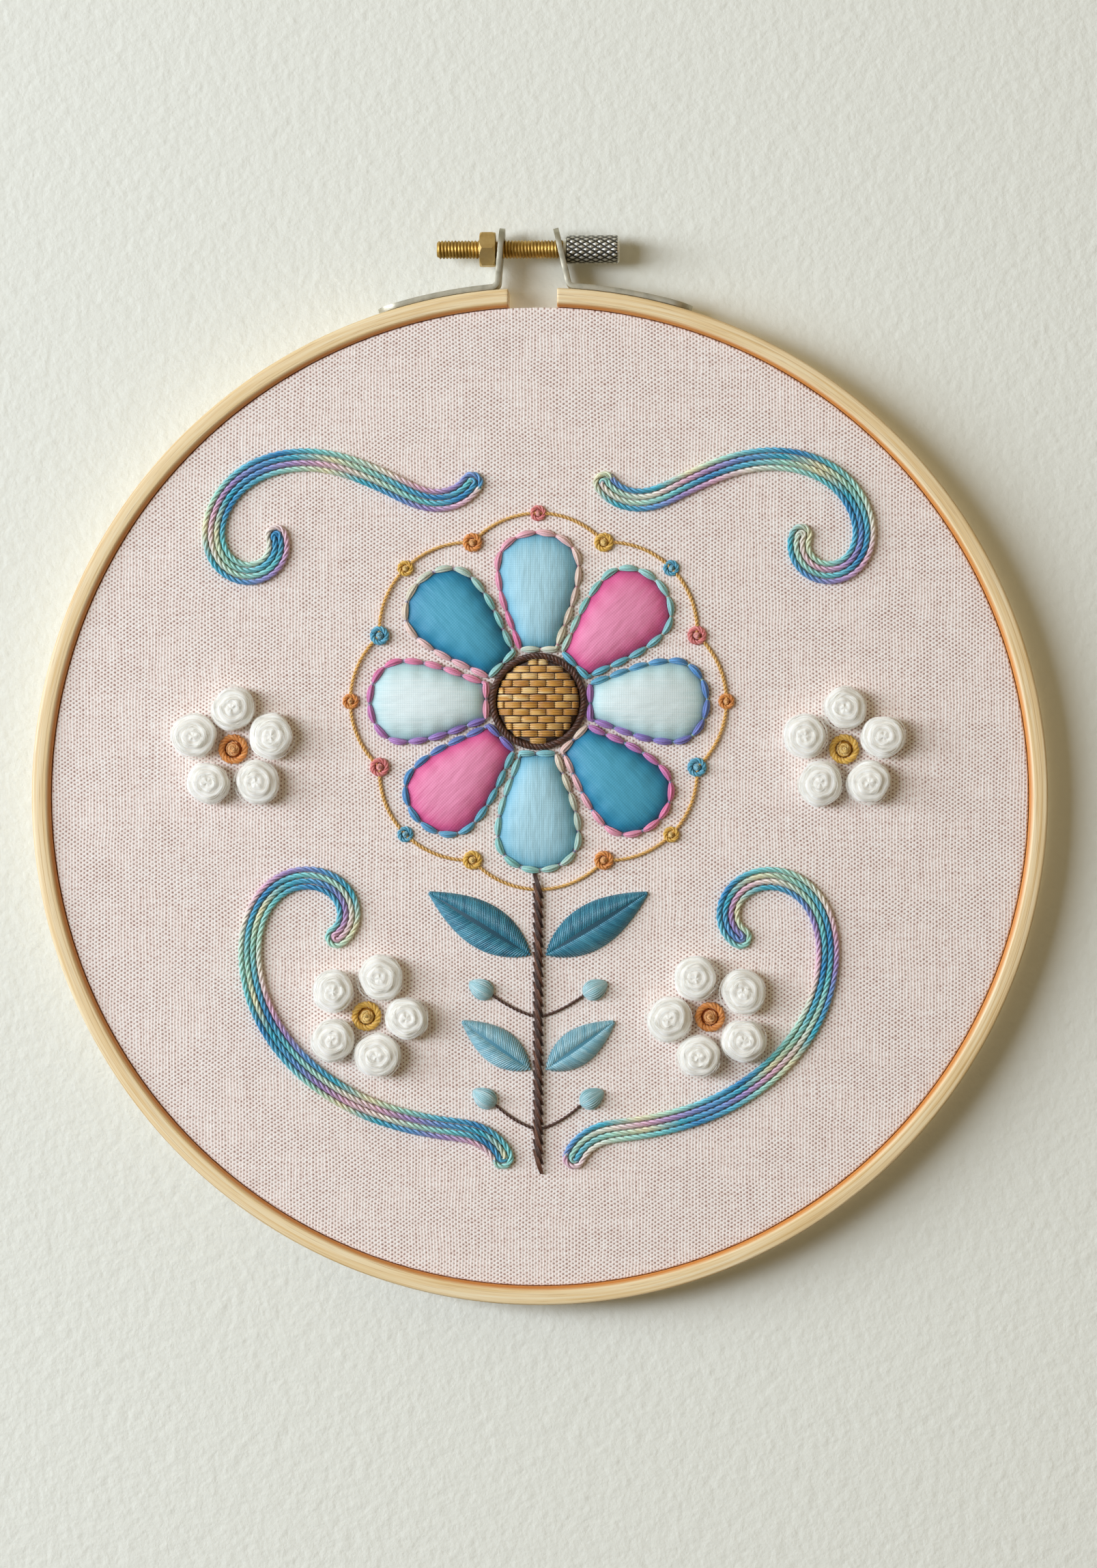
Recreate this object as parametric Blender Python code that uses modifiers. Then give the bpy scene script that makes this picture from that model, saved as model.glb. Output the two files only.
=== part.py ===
# Embroidery hoop art: a bamboo hoop closed by a screw, its stretched cloth, and raised embroidery.
# Sizes are in metres. The origin is the hoop's centre on the wall behind it, and +Z is up to the screw.
# Every piece hangs under one empty, whose own axes are x to the right, y up and z out of the wall.
import bisect
import itertools
import math

import bmesh
import bpy
from mathutils import Vector

# Clearance between pieces that touch, and distance under which a piece's own points merge
GAP = 0.0003
MERGE = 0.00002

# Hoop
HOOP_DEPTH = 0.010
OUTER_RING_RADIUS = 0.1065
OUTER_RING_WALL = 0.0039
INNER_RING_WALL = 0.0035
RING_EDGE = 0.0008
RING_STEPS = 90
RING_GAP_LEFT = -0.0063
RING_GAP_RIGHT = 0.0040

# Cloth
CLOTH_FRONT = 0.0086
CLOTH_THICKNESS = 0.0010
CLOTH_TRIM = 0.0005
CLOTH_CORNER = 0.3

# Screw closure
SCREW_HEIGHT = 0.1149
BOLT_RADIUS = 0.00195
BOLT_TIP = -0.0214
BOLT_END = 0.0056
BOLT_POINT = 0.0006
HEAD_RADIUS = 0.00307
HEAD_LENGTH = 0.0110
HEAD_EDGE = 0.0008
NUT_FLATS = 0.0070
NUT_THICKNESS = 0.0033
NUT_RIGHT = -0.00935
NUT_BORE_RADIUS = 0.00225
SHEET = 0.0011
EAR_HALF_WIDTH = 0.0040
EAR_TOP = 0.1194
EAR_HOLE_RADIUS = 0.0024
EAR_BEND_RADIUS = 0.0014
FOOT_TIP_SWINGS_DEG = (18, 36, 54, 72)
FOOT_STEPS = 8
EAR_BEND_STEPS = 4
EAR_TOP_SWINGS_DEG = (90, 75, 60, 45, 30, 15)
NUT_CORNER_WEAR = 0.00025
ROUND_STEPS = 24
CUT_PAST = 0.012

# One row a bracket: side of the gap, distance of the ear's foot from the middle, lean of the ear
# towards the gap, and angle round the ring at which the foot ends
BRACKET_COLUMNS = ("name", "side", "ear_foot", "lean_deg", "foot_end_deg")
BRACKETS = (
    ("bracket_left", -1, 0.00860, 4.5, 18.3),
    ("bracket_right", 1, 0.00645, 13.3, 17.5),
)

# Large flower
FLOWER_HEIGHT = 0.020
PETAL_COUNT = 8
PETAL_START = 0.0112
PETAL_END = 0.0350
PETAL_BASE_HALF = 0.0035
PETAL_WIDE_HALF = 0.0082
PETAL_WIDEST = 0.72
PETAL_SWELL = 1.2
PETAL_TIP = 0.1
PETAL_CROWN = 0.0028
PETAL_EDGE = 0.0007
PETAL_CROWN_FORWARD = 0.8
PETAL_CROWN_FLATNESS = 0.6
PETAL_STATIONS = 12
CENTRE_RADIUS = 0.0085
CENTRE_HEIGHT = 0.0032
RING_CORD_RADIUS = 0.00075
RING_CORD_SIDES = 6
RING_CORD_STEPS = 28
ROSETTE_RADIUS = 0.0021
ROSETTE_HEIGHT = 0.0023
ROSETTE_REACH = 0.0360
ROSETTE_STEPS = 10

# Wool blossoms: one row each, for the middle of each blossom, its turn and its coiled centre
BLOSSOM_COLUMNS = ("across", "up", "turn_deg", "centre")
BLOSSOMS = (
    (-0.064, 0.010, 0, "orange_thread"),
    (0.064, 0.010, 0, "yellow_thread"),
    (-0.036, -0.046, -20, "yellow_thread"),
    (0.036, -0.046, 20, "orange_thread"),
)
ROUNDS = 5
ROUND_REACH = 0.0086
ROUND_RADIUS = 0.0049
ROUND_HEIGHT = 0.0046
ROUND_TAIL = 0.08
ROUND_SIDES = 12
ROUND_ROWS = 6
ROUND_WAIST = 0.32
ROUND_DIMPLE = 0.12
ROUND_UNEVEN = 0.03
BLOSSOM_CENTRE_RADIUS = 0.0033
BLOSSOM_CENTRE_HEIGHT = 0.0036

# Scrolls: start and heading of the right one of each pair, and its bend along its length in 1/m
SCROLL_HALF_WIDTH = 0.0025
SCROLL_HEIGHT = 0.0016
SCROLL_END_SWINGS_DEG = (20, 50, 80)
SCROLL_MIDDLE_STATIONS = 30
SCROLL_END_LOW = 0.7
SCROLL_STEP = 0.00025
SCROLL_COLUMNS = ("name", "start_across", "start_up", "heading_deg", "bends")
BEND_COLUMNS = ("along", "bend")
SCROLLS = (
    ("upper_scroll", 0.0130, 0.0680, -80, (
        (0, 160), (0.010, 100), (0.022, -10), (0.040, -38), (0.060, -64), (0.080, -150), (0.094, -200),
    )),
    ("lower_scroll", 0.0070, -0.0780, 88, (
        (0, -150), (0.008, -100), (0.017, 12), (0.040, 22), (0.072, 32), (0.098, 95), (0.120, 190),
    )),
)

# Stem and leaves: one row for the right leaf of each pair
STEM_TOP = -0.0160
STEM_FOOT = -0.0790
STEM_HALF_WIDTH = 0.0011
STEM_HEIGHT = 0.0017
STEM_STATIONS = 10
LEAF_STATIONS = 10
LEAF_CROWN = 0.0022
LEAF_END_SHARE = 0.09
LEAF_FORWARD = 0.85
LEAF_FLATNESS = 0.9
LEAF_COLUMNS = ("name", "root_across", "root_up", "tip_across", "tip_up", "half_width", "finish")
LEAVES = (
    ("upper_leaf", 0.0018, -0.0330, 0.0230, -0.0200, 0.0046, "teal_satin"),
    ("lower_leaf", 0.0018, -0.0570, 0.0160, -0.0470, 0.0036, "light_blue_satin"),
)

# Cross-sections of raised work: share of the half width, and share of the height
PADDED_SECTION = ((-1, 0), (-0.98, 0.30), (-0.62, 0.80), (0, 1), (0.62, 0.80), (0.98, 0.30), (1, 0))
FOUR_CORDS_SECTION = (
    (-1, 0), (-0.86, 0.85), (-0.50, 0.55), (-0.25, 1), (0, 0.62),
    (0.25, 1), (0.50, 0.55), (0.86, 0.85), (1, 0),
)
STEM_SECTION = ((-1, 0), (-0.80, 0.72), (0, 1), (0.80, 0.72), (1, 0))

# Outlines of turned pieces: share of the radius, and share of the height
DOME_OUTLINE = ((0, 1), (0.50, 0.92), (0.84, 0.62), (1, 0.22), (1, 0), (0, 0))
ROSETTE_OUTLINE = ((0, 1), (0.45, 0.88), (0.82, 0.68), (1, 0.35), (0.94, 0), (0, 0))

# Finishes: linear colour, roughness and metallic value
FINISHES = {
    "bamboo": ((0.80, 0.62, 0.36), 0.55, 0.0),
    "steel": ((0.50, 0.49, 0.47), 0.35, 1.0),
    "brass": ((0.60, 0.42, 0.18), 0.32, 1.0),
    "blush_cotton": ((0.76, 0.60, 0.54), 0.90, 0.0),
    "light_blue_satin": ((0.34, 0.62, 0.72), 0.40, 0.0),
    "pink_satin": ((0.76, 0.20, 0.40), 0.40, 0.0),
    "pale_aqua_satin": ((0.66, 0.84, 0.86), 0.40, 0.0),
    "teal_satin": ((0.07, 0.33, 0.48), 0.40, 0.0),
    "golden_brown_thread": ((0.42, 0.23, 0.06), 0.60, 0.0),
    "dark_brown_thread": ((0.09, 0.035, 0.015), 0.60, 0.0),
    "variegated_cord": ((0.14, 0.42, 0.55), 0.55, 0.0),
    "white_wool": ((0.88, 0.87, 0.83), 0.95, 0.0),
    "orange_thread": ((0.84, 0.32, 0.07), 0.55, 0.0),
    "yellow_thread": ((0.82, 0.53, 0.09), 0.55, 0.0),
    "coral_thread": ((0.72, 0.19, 0.20), 0.55, 0.0),
    "sky_thread": ((0.12, 0.42, 0.58), 0.55, 0.0),
}
PETAL_FINISHES = ("light_blue_satin", "pink_satin", "pale_aqua_satin", "teal_satin")
ROSETTE_FINISHES = ("yellow_thread", "coral_thread", "sky_thread", "orange_thread")

# Heights and radii that follow from the sizes above
OUTER_RING_INSIDE = OUTER_RING_RADIUS - OUTER_RING_WALL
CLOTH_RADIUS = OUTER_RING_INSIDE - GAP
CLOTH_INSIDE = CLOTH_RADIUS - CLOTH_THICKNESS
CLOTH_BACK = CLOTH_FRONT - CLOTH_THICKNESS
INNER_RING_RADIUS = CLOTH_INSIDE - GAP
INNER_RING_INSIDE = INNER_RING_RADIUS - INNER_RING_WALL
INNER_RING_FRONT = CLOTH_BACK - GAP
SEWN_BASE = CLOTH_FRONT + GAP
MIDDLE_DEPTH = HOOP_DEPTH / 2


def clear_scene():
    for obj in list(bpy.data.objects):
        bpy.data.objects.remove(obj, do_unlink=True)


def make_collection(name):
    collection = bpy.data.collections.new(name)
    bpy.context.scene.collection.children.link(collection)
    return collection


def make_material(name):
    colour, roughness, metallic = FINISHES[name]
    material = bpy.data.materials.new(name)
    material.use_nodes = True
    shader = material.node_tree.nodes["Principled BSDF"]
    shader.inputs["Base Color"].default_value = (*colour, 1)
    shader.inputs["Roughness"].default_value = roughness
    shader.inputs["Metallic"].default_value = metallic
    material.diffuse_color = (*colour, 1)
    return material


def make_empty(name, parent=None, location=(0, 0, 0), rotation=(0, 0, 0)):
    empty = bpy.data.objects.new(name, None)
    PARTS.objects.link(empty)
    empty.parent = parent
    empty.location = location
    empty.rotation_euler = rotation
    return empty


def add_mesh(name, mesh, finish, parent, location=(0, 0, 0), rotation=(0, 0, 0), sharp_deg=40):
    """Puts a mesh in the scene as one sub-part, under its parent empty."""
    obj = bpy.data.objects.new(name, mesh)
    PARTS.objects.link(obj)
    obj.parent = parent
    obj.location = location
    obj.rotation_euler = rotation
    if not mesh.materials:
        mesh.materials.append(MATERIALS[finish])
    mesh.shade_smooth()
    mesh.set_sharp_from_angle(angle=math.radians(sharp_deg))
    return obj


def add_cutter(name, mesh, parent, location=(0, 0, 0), rotation=(0, 0, 0)):
    cutter = bpy.data.objects.new(name, mesh)
    CUTTERS.objects.link(cutter)
    cutter.parent = parent
    cutter.location = location
    cutter.rotation_euler = rotation
    cutter.hide_render = True
    cutter.display_type = "WIRE"
    return cutter


def cut(obj, cutter):
    modifier = obj.modifiers.new("cut_" + cutter.name, "BOOLEAN")
    modifier.operation = "DIFFERENCE"
    modifier.solver = "EXACT"
    modifier.object = cutter


def mesh_from(bm, name):
    bmesh.ops.recalc_face_normals(bm, faces=bm.faces)
    mesh = bpy.data.meshes.new(name)
    bm.to_mesh(mesh)
    bm.free()
    return mesh


def profile_mesh(name, points, closed):
    """A line of edges in the XZ plane, from points of radius and height."""
    bm = bmesh.new()
    verts = [bm.verts.new((radius, 0, height)) for radius, height in points]
    for start, end in zip(verts, verts[1:]):
        bm.edges.new((start, end))
    if closed:
        bm.edges.new((verts[-1], verts[0]))
    mesh = bpy.data.meshes.new(name)
    bm.to_mesh(mesh)
    bm.free()
    return mesh


def turn_profile(obj, steps):
    modifier = obj.modifiers.new("turn", "SCREW")
    modifier.axis = "Z"
    modifier.angle = math.tau
    modifier.steps = steps
    modifier.render_steps = steps
    modifier.use_merge_vertices = True
    modifier.merge_threshold = MERGE
    modifier.use_smooth_shade = True


def make_turned(name, points, finish, parent, steps, closed=False, location=(0, 0, 0)):
    mesh = profile_mesh(name, points, closed)
    obj = add_mesh(name, mesh, finish, parent, location)
    turn_profile(obj, steps)
    return obj


def scaled_outline(outline, radius, height):
    return [(radius * out, height * rise) for out, rise in outline]


def make_box_mesh(name, low, high):
    bm = bmesh.new()
    bmesh.ops.create_cube(bm, size=1)
    for vert in bm.verts:
        vert.co = Vector(low[i] + (vert.co[i] + 0.5) * (high[i] - low[i]) for i in range(3))
    return mesh_from(bm, name)


def make_cylinder_mesh(name, radius, length, sides):
    bm = bmesh.new()
    bmesh.ops.create_cone(bm, cap_ends=True, segments=sides, radius1=radius, radius2=radius, depth=length)
    return mesh_from(bm, name)


def make_rings():
    """The split outer ring and the closed inner ring, both with softened edges."""
    inside, outside, edge = OUTER_RING_INSIDE, OUTER_RING_RADIUS, RING_EDGE
    section = (
        (inside + edge, HOOP_DEPTH), (outside - edge, HOOP_DEPTH), (outside, HOOP_DEPTH - edge),
        (outside, edge), (outside - edge, 0), (inside + edge, 0), (inside, edge), (inside, HOOP_DEPTH - edge),
    )
    outer = make_turned("outer_ring", section, "bamboo", FRONT, RING_STEPS, closed=True)
    low = (RING_GAP_LEFT, OUTER_RING_INSIDE - CUT_PAST, -CUT_PAST)
    high = (RING_GAP_RIGHT, OUTER_RING_RADIUS + CUT_PAST, HOOP_DEPTH + CUT_PAST)
    cut(outer, add_cutter("ring_gap", make_box_mesh("ring_gap", low, high), FRONT))

    inside, outside = INNER_RING_INSIDE, INNER_RING_RADIUS
    section = (
        (inside + edge, INNER_RING_FRONT), (outside - edge, INNER_RING_FRONT),
        (outside, INNER_RING_FRONT - edge), (outside, 0), (inside, 0), (inside, INNER_RING_FRONT - edge),
    )
    make_turned("inner_ring", section, "bamboo", FRONT, RING_STEPS, closed=True)


def make_cloth():
    """The cloth stretched over the inner ring's front edge, drawn back between the rings and trimmed."""
    section = (
        (0, CLOTH_FRONT),
        (CLOTH_RADIUS - CLOTH_THICKNESS, CLOTH_FRONT),
        (CLOTH_RADIUS - CLOTH_THICKNESS * CLOTH_CORNER, CLOTH_FRONT - CLOTH_THICKNESS * CLOTH_CORNER),
        (CLOTH_RADIUS, CLOTH_FRONT - CLOTH_THICKNESS),
        (CLOTH_RADIUS, CLOTH_TRIM),
        (CLOTH_INSIDE, CLOTH_TRIM),
        (CLOTH_INSIDE, CLOTH_BACK),
        (0, CLOTH_BACK),
    )
    make_turned("ground_cloth", section, "blush_cotton", FRONT, RING_STEPS)


def bracket_path(ear_foot, lean, foot_end):
    """Points of a right-hand bracket's middle line with its half width at each, from foot tip to ear top."""
    radius = OUTER_RING_RADIUS + GAP + SHEET / 2
    corner = math.asin(ear_foot / radius)
    turn = math.pi / 2 - corner - lean
    before_corner = EAR_BEND_RADIUS * math.tan(turn / 2)
    bend_start = corner + before_corner / radius
    ear_length = (EAR_TOP - radius * math.cos(corner)) / math.cos(lean) - before_corner
    path = []
    for swing in map(math.radians, FOOT_TIP_SWINGS_DEG):
        angle = foot_end - EAR_HALF_WIDTH * (1 - math.cos(swing)) / radius
        path.append((radius * math.sin(angle), radius * math.cos(angle), EAR_HALF_WIDTH * math.sin(swing)))
    full = foot_end - EAR_HALF_WIDTH / radius
    for i in range(FOOT_STEPS + 1):
        angle = full + (bend_start - full) * i / FOOT_STEPS
        path.append((radius * math.sin(angle), radius * math.cos(angle), EAR_HALF_WIDTH))
    across, up = path[-1][0], path[-1][1]
    step = EAR_BEND_RADIUS * turn / EAR_BEND_STEPS
    for i in range(EAR_BEND_STEPS):
        heading = math.pi - bend_start - turn * (i + 0.5) / EAR_BEND_STEPS
        across += step * math.cos(heading)
        up += step * math.sin(heading)
        path.append((across, up, EAR_HALF_WIDTH))
    for swing in map(math.radians, EAR_TOP_SWINGS_DEG):
        along = ear_length - EAR_HALF_WIDTH * (1 - math.cos(swing))
        half = EAR_HALF_WIDTH * math.sin(swing)
        path.append((across - along * math.sin(lean), up + along * math.cos(lean), half))
    return path


def make_brackets():
    """Two bent steel strips, each with a round-ended foot along the ring and a round-topped ear."""
    hole = add_cutter(
        "ear_holes",
        make_cylinder_mesh("ear_holes", EAR_HOLE_RADIUS, CUT_PAST * 3, ROUND_STEPS),
        SCREW_AXIS,
    )
    for row in BRACKETS:
        bracket = dict(zip(BRACKET_COLUMNS, row))
        path = bracket_path(
            bracket["ear_foot"], math.radians(bracket["lean_deg"]), math.radians(bracket["foot_end_deg"])
        )
        bm = bmesh.new()
        pairs = []
        for across, up, half in path:
            spot = bracket["side"] * across
            pairs.append([bm.verts.new((spot, up, MIDDLE_DEPTH + end * half)) for end in (-1, 1)])
        for (low_a, high_a), (low_b, high_b) in zip(pairs, pairs[1:]):
            bm.faces.new((low_a, low_b, high_b, high_a))
        obj = add_mesh(bracket["name"], mesh_from(bm, bracket["name"]), "steel", FRONT)
        solidify = obj.modifiers.new("sheet", "SOLIDIFY")
        solidify.thickness = SHEET
        solidify.offset = 0
        cut(obj, hole)


def make_screw():
    """The bolt and its thumb head turn together about the screw axis. The nut stays on the left ear."""
    bolt = (
        (0, BOLT_END), (BOLT_RADIUS, BOLT_END), (BOLT_RADIUS, BOLT_TIP + BOLT_POINT),
        (BOLT_RADIUS - BOLT_POINT, BOLT_TIP), (0, BOLT_TIP),
    )
    make_turned("screw_bolt", bolt, "brass", SCREW_AXIS, ROUND_STEPS)
    start = BOLT_END + GAP
    end = start + HEAD_LENGTH
    head = (
        (0, end), (HEAD_RADIUS - HEAD_EDGE / 2, end), (HEAD_RADIUS, end - HEAD_EDGE / 2),
        (HEAD_RADIUS, start + HEAD_EDGE), (HEAD_RADIUS - HEAD_EDGE, start), (0, start),
    )
    make_turned("thumb_head", head, "steel", SCREW_AXIS, ROUND_STEPS)

    corner_radius = NUT_FLATS / 2 / math.cos(math.pi / 6)
    nut = add_mesh(
        "hex_nut",
        make_cylinder_mesh("hex_nut", corner_radius, NUT_THICKNESS, 6),
        "brass",
        SCREW_AXIS,
        location=(0, 0, NUT_RIGHT - NUT_THICKNESS / 2),
        rotation=(0, 0, math.pi / 2 + math.pi / 6),
    )
    bevel = nut.modifiers.new("corner_wear", "BEVEL")
    bevel.width = NUT_CORNER_WEAR
    bevel.segments = 1
    bevel.limit_method = "ANGLE"
    bore = make_cylinder_mesh("nut_bore", NUT_BORE_RADIUS, NUT_THICKNESS * 3, ROUND_STEPS)
    cut(nut, add_cutter("nut_bore", bore, SCREW_AXIS, location=(0, 0, NUT_RIGHT - NUT_THICKNESS / 2)))


def loft(name, stations, section, finish):
    """Raised work on the cloth. A station is a point, its heading, its half width and its height."""
    bm = bmesh.new()
    rings = []
    for across, up, heading, half, height in stations:
        left = (-math.sin(heading), math.cos(heading))
        ring = []
        for side, rise in section:
            spot = (across + left[0] * side * half, up + left[1] * side * half, SEWN_BASE + rise * height)
            ring.append(bm.verts.new(spot))
        rings.append(ring)
    count = len(section)
    for ring_a, ring_b in zip(rings, rings[1:]):
        for i in range(count):
            j = (i + 1) % count
            bm.faces.new((ring_a[i], ring_a[j], ring_b[j], ring_b[i]))
    bm.faces.new(rings[0])
    bm.faces.new(rings[-1])
    return add_mesh(name, mesh_from(bm, name), finish, FRONT, sharp_deg=60)


def petal_half_width(share):
    """Half width at a share of a petal's length: it swells to its widest place, then rounds off."""
    swell = math.sin(math.pi / 2 * min(1, share / PETAL_WIDEST)) ** PETAL_SWELL
    past = max(0, (share - PETAL_WIDEST) / (1 - PETAL_WIDEST))
    tip = max(PETAL_TIP, math.sqrt(1 - past * past))
    return (PETAL_BASE_HALF + (PETAL_WIDE_HALF - PETAL_BASE_HALF) * swell) * tip


def make_flower():
    """Eight padded petals round a basket-weave centre, with a cord round the centre and rosettes outside."""
    for number in range(PETAL_COUNT):
        heading = math.pi / 2 - math.tau * number / PETAL_COUNT
        rows = []
        for i in range(PETAL_STATIONS + 1):
            share = math.sin(math.pi / 2 * i / PETAL_STATIONS)
            reach = PETAL_START + (PETAL_END - PETAL_START) * share
            fullness = math.sin(math.pi * share ** PETAL_CROWN_FORWARD) ** PETAL_CROWN_FLATNESS
            crown = PETAL_EDGE + (PETAL_CROWN - PETAL_EDGE) * fullness
            spot = (reach * math.cos(heading), FLOWER_HEIGHT + reach * math.sin(heading))
            rows.append((*spot, heading, petal_half_width(share), crown))
        finish = PETAL_FINISHES[number % len(PETAL_FINISHES)]
        loft(f"petal_{number + 1}", rows, PADDED_SECTION, finish)

    dome = scaled_outline(DOME_OUTLINE, CENTRE_RADIUS, CENTRE_HEIGHT)
    middle = (0, FLOWER_HEIGHT, SEWN_BASE)
    make_turned("flower_centre", dome, "golden_brown_thread", FRONT, ROUND_STEPS, location=middle)

    cord_path = CENTRE_RADIUS + GAP + RING_CORD_RADIUS
    circle = []
    for i in range(RING_CORD_SIDES):
        angle = math.pi / 2 - math.tau * i / RING_CORD_SIDES
        circle.append(
            (cord_path + RING_CORD_RADIUS * math.cos(angle), RING_CORD_RADIUS * (1 + math.sin(angle)))
        )
    make_turned(
        "centre_cord", circle, "dark_brown_thread", FRONT, RING_CORD_STEPS, closed=True, location=middle
    )

    for number in range(PETAL_COUNT):
        angle = math.pi / 2 - math.tau * (number + 0.5) / PETAL_COUNT
        spot = (ROSETTE_REACH * math.cos(angle), FLOWER_HEIGHT + ROSETTE_REACH * math.sin(angle), SEWN_BASE)
        finish = ROSETTE_FINISHES[number % len(ROSETTE_FINISHES)]
        make_rosette(f"rosette_{number + 1}", ROSETTE_RADIUS, ROSETTE_HEIGHT, finish, spot)


def make_rosette(name, radius, height, finish, spot):
    """A thread coiled on itself: a flat outer turn and a raised middle."""
    outline = scaled_outline(ROSETTE_OUTLINE, radius, height)
    make_turned(name, outline, finish, FRONT, ROSETTE_STEPS, location=spot)


def make_wool_round(name, across, up, turn, radius, height):
    """A roll of wool roving wound into a bun, whose outer turn draws in to its tail."""
    bm = bmesh.new()
    bmesh.ops.create_uvsphere(bm, u_segments=ROUND_SIDES, v_segments=ROUND_ROWS, radius=1)
    for vert in bm.verts:
        angle = math.atan2(vert.co.y, vert.co.x) % math.tau
        draw_in = 1 - ROUND_TAIL * angle / math.tau
        flat = math.hypot(vert.co.x, vert.co.y)
        dimple = ROUND_DIMPLE * max(0, 1 - 2 * flat) if vert.co.z > 0 else 0
        rise = ROUND_WAIST + (1 - ROUND_WAIST) * vert.co.z - dimple
        swing = angle + turn
        vert.co = Vector((
            across + radius * flat * draw_in * math.cos(swing),
            up + radius * flat * draw_in * math.sin(swing),
            SEWN_BASE + height * max(0, rise),
        ))
    bmesh.ops.remove_doubles(bm, verts=bm.verts, dist=MERGE)
    add_mesh(name, mesh_from(bm, name), "white_wool", FRONT, sharp_deg=70)


def make_blossoms():
    """Blossoms of five wool rounds, each round a rosette."""
    for number, row in enumerate(BLOSSOMS, start=1):
        blossom = dict(zip(BLOSSOM_COLUMNS, row))
        for place in range(ROUNDS):
            angle = math.pi / 2 + math.radians(blossom["turn_deg"]) + math.tau * place / ROUNDS
            smaller = 1 - ROUND_UNEVEN * ((place * 2 + number) % 3)
            make_wool_round(
                f"wool_round_{number}_{place + 1}",
                blossom["across"] + ROUND_REACH * math.cos(angle),
                blossom["up"] + ROUND_REACH * math.sin(angle),
                angle * 2 + number,
                ROUND_RADIUS * smaller,
                ROUND_HEIGHT * (2 - smaller),
            )
        spot = (blossom["across"], blossom["up"], SEWN_BASE)
        make_rosette(
            f"blossom_centre_{number}", BLOSSOM_CENTRE_RADIUS, BLOSSOM_CENTRE_HEIGHT, blossom["centre"], spot
        )


def bend_at(bends, along):
    """The bend at a distance along a scroll, eased between the rows of its table."""
    for (start, bend), (end, next_bend) in zip(bends, bends[1:]):
        if along <= end:
            share = (along - start) / (end - start)
            return bend + (next_bend - bend) * share * share * (3 - 2 * share)
    return bends[-1][1]


def scroll_line(start, heading, bends, step=SCROLL_STEP):
    """Points of a scroll's middle line with their headings, a small step apart."""
    across, up = start
    line = [(across, up, heading)]
    for i in range(round(bends[-1][0] / step)):
        turn = bend_at(bends, (i + 0.5) * step) * step
        across += step * math.cos(heading + turn / 2)
        up += step * math.sin(heading + turn / 2)
        heading += turn
        line.append((across, up, heading))
    return line


def scroll_stations(line, length):
    """Places on a scroll's line with the band's half width at each: rounded off at both ends, and
    closer together where the band bends more."""
    last = len(line) - 1
    ends = []
    for swing in map(math.radians, SCROLL_END_SWINGS_DEG):
        place = round(SCROLL_HALF_WIDTH * (1 - math.cos(swing)) / length * last)
        ends.append((place, SCROLL_HALF_WIDTH * math.sin(swing)))
    first = round(SCROLL_HALF_WIDTH / length * last)
    stretch = range(first, last - first + 1)
    turns = [abs(line[i][2] - line[i - 1][2]) for i in stretch]
    effort = list(itertools.accumulate(turn / sum(turns) + 1 / len(turns) for turn in turns))
    middle = []
    for i in range(SCROLL_MIDDLE_STATIONS + 1):
        wanted = effort[0] + (effort[-1] - effort[0]) * i / SCROLL_MIDDLE_STATIONS
        place = stretch[min(bisect.bisect_left(effort, wanted), len(effort) - 1)]
        middle.append((place, SCROLL_HALF_WIDTH))
    return ends + middle + [(last - place, half) for place, half in reversed(ends)]


def make_scrolls():
    """Four bands of laid cord, each of four cords side by side with round turns at both ends."""
    for row in SCROLLS:
        scroll = dict(zip(SCROLL_COLUMNS, row))
        start = (scroll["start_across"], scroll["start_up"])
        line = scroll_line(start, math.radians(scroll["heading_deg"]), scroll["bends"])
        length = scroll["bends"][-1][0]
        for side_name, side in (("left", -1), ("right", 1)):
            stations = []
            for place, half in scroll_stations(line, length):
                across, up, heading = line[place]
                if side < 0:
                    across, heading = -across, math.pi - heading
                fullness = SCROLL_END_LOW + (1 - SCROLL_END_LOW) * half / SCROLL_HALF_WIDTH
                stations.append((across, up, heading, half, SCROLL_HEIGHT * fullness))
            loft(f"{scroll['name']}_{side_name}", stations, FOUR_CORDS_SECTION, "variegated_cord")


def make_stem_and_leaves():
    """A straight stem below the flower with two pairs of padded leaves."""
    stations = []
    for i in range(STEM_STATIONS + 1):
        up = STEM_TOP + (STEM_FOOT - STEM_TOP) * i / STEM_STATIONS
        half = STEM_HALF_WIDTH / 2 if i in (0, STEM_STATIONS) else STEM_HALF_WIDTH
        stations.append((0, up, -math.pi / 2, half, STEM_HEIGHT))
    loft("stem", stations, STEM_SECTION, "dark_brown_thread")

    for row in LEAVES:
        leaf = dict(zip(LEAF_COLUMNS, row))
        length = math.hypot(leaf["tip_across"] - leaf["root_across"], leaf["tip_up"] - leaf["root_up"])
        for side_name, side in (("left", -1), ("right", 1)):
            heading = math.atan2(
                leaf["tip_up"] - leaf["root_up"], side * (leaf["tip_across"] - leaf["root_across"])
            )
            stations = []
            for i in range(LEAF_STATIONS + 1):
                share = i / LEAF_STATIONS
                swell = max(LEAF_END_SHARE, math.sin(math.pi * share ** LEAF_FORWARD) ** LEAF_FLATNESS)
                across = side * leaf["root_across"] + share * length * math.cos(heading)
                up = leaf["root_up"] + share * length * math.sin(heading)
                height = PETAL_EDGE + (LEAF_CROWN - PETAL_EDGE) * swell
                stations.append((across, up, heading, leaf["half_width"] * swell, height))
            loft(f"{leaf['name']}_{side_name}", stations, PADDED_SECTION, leaf["finish"])


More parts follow.
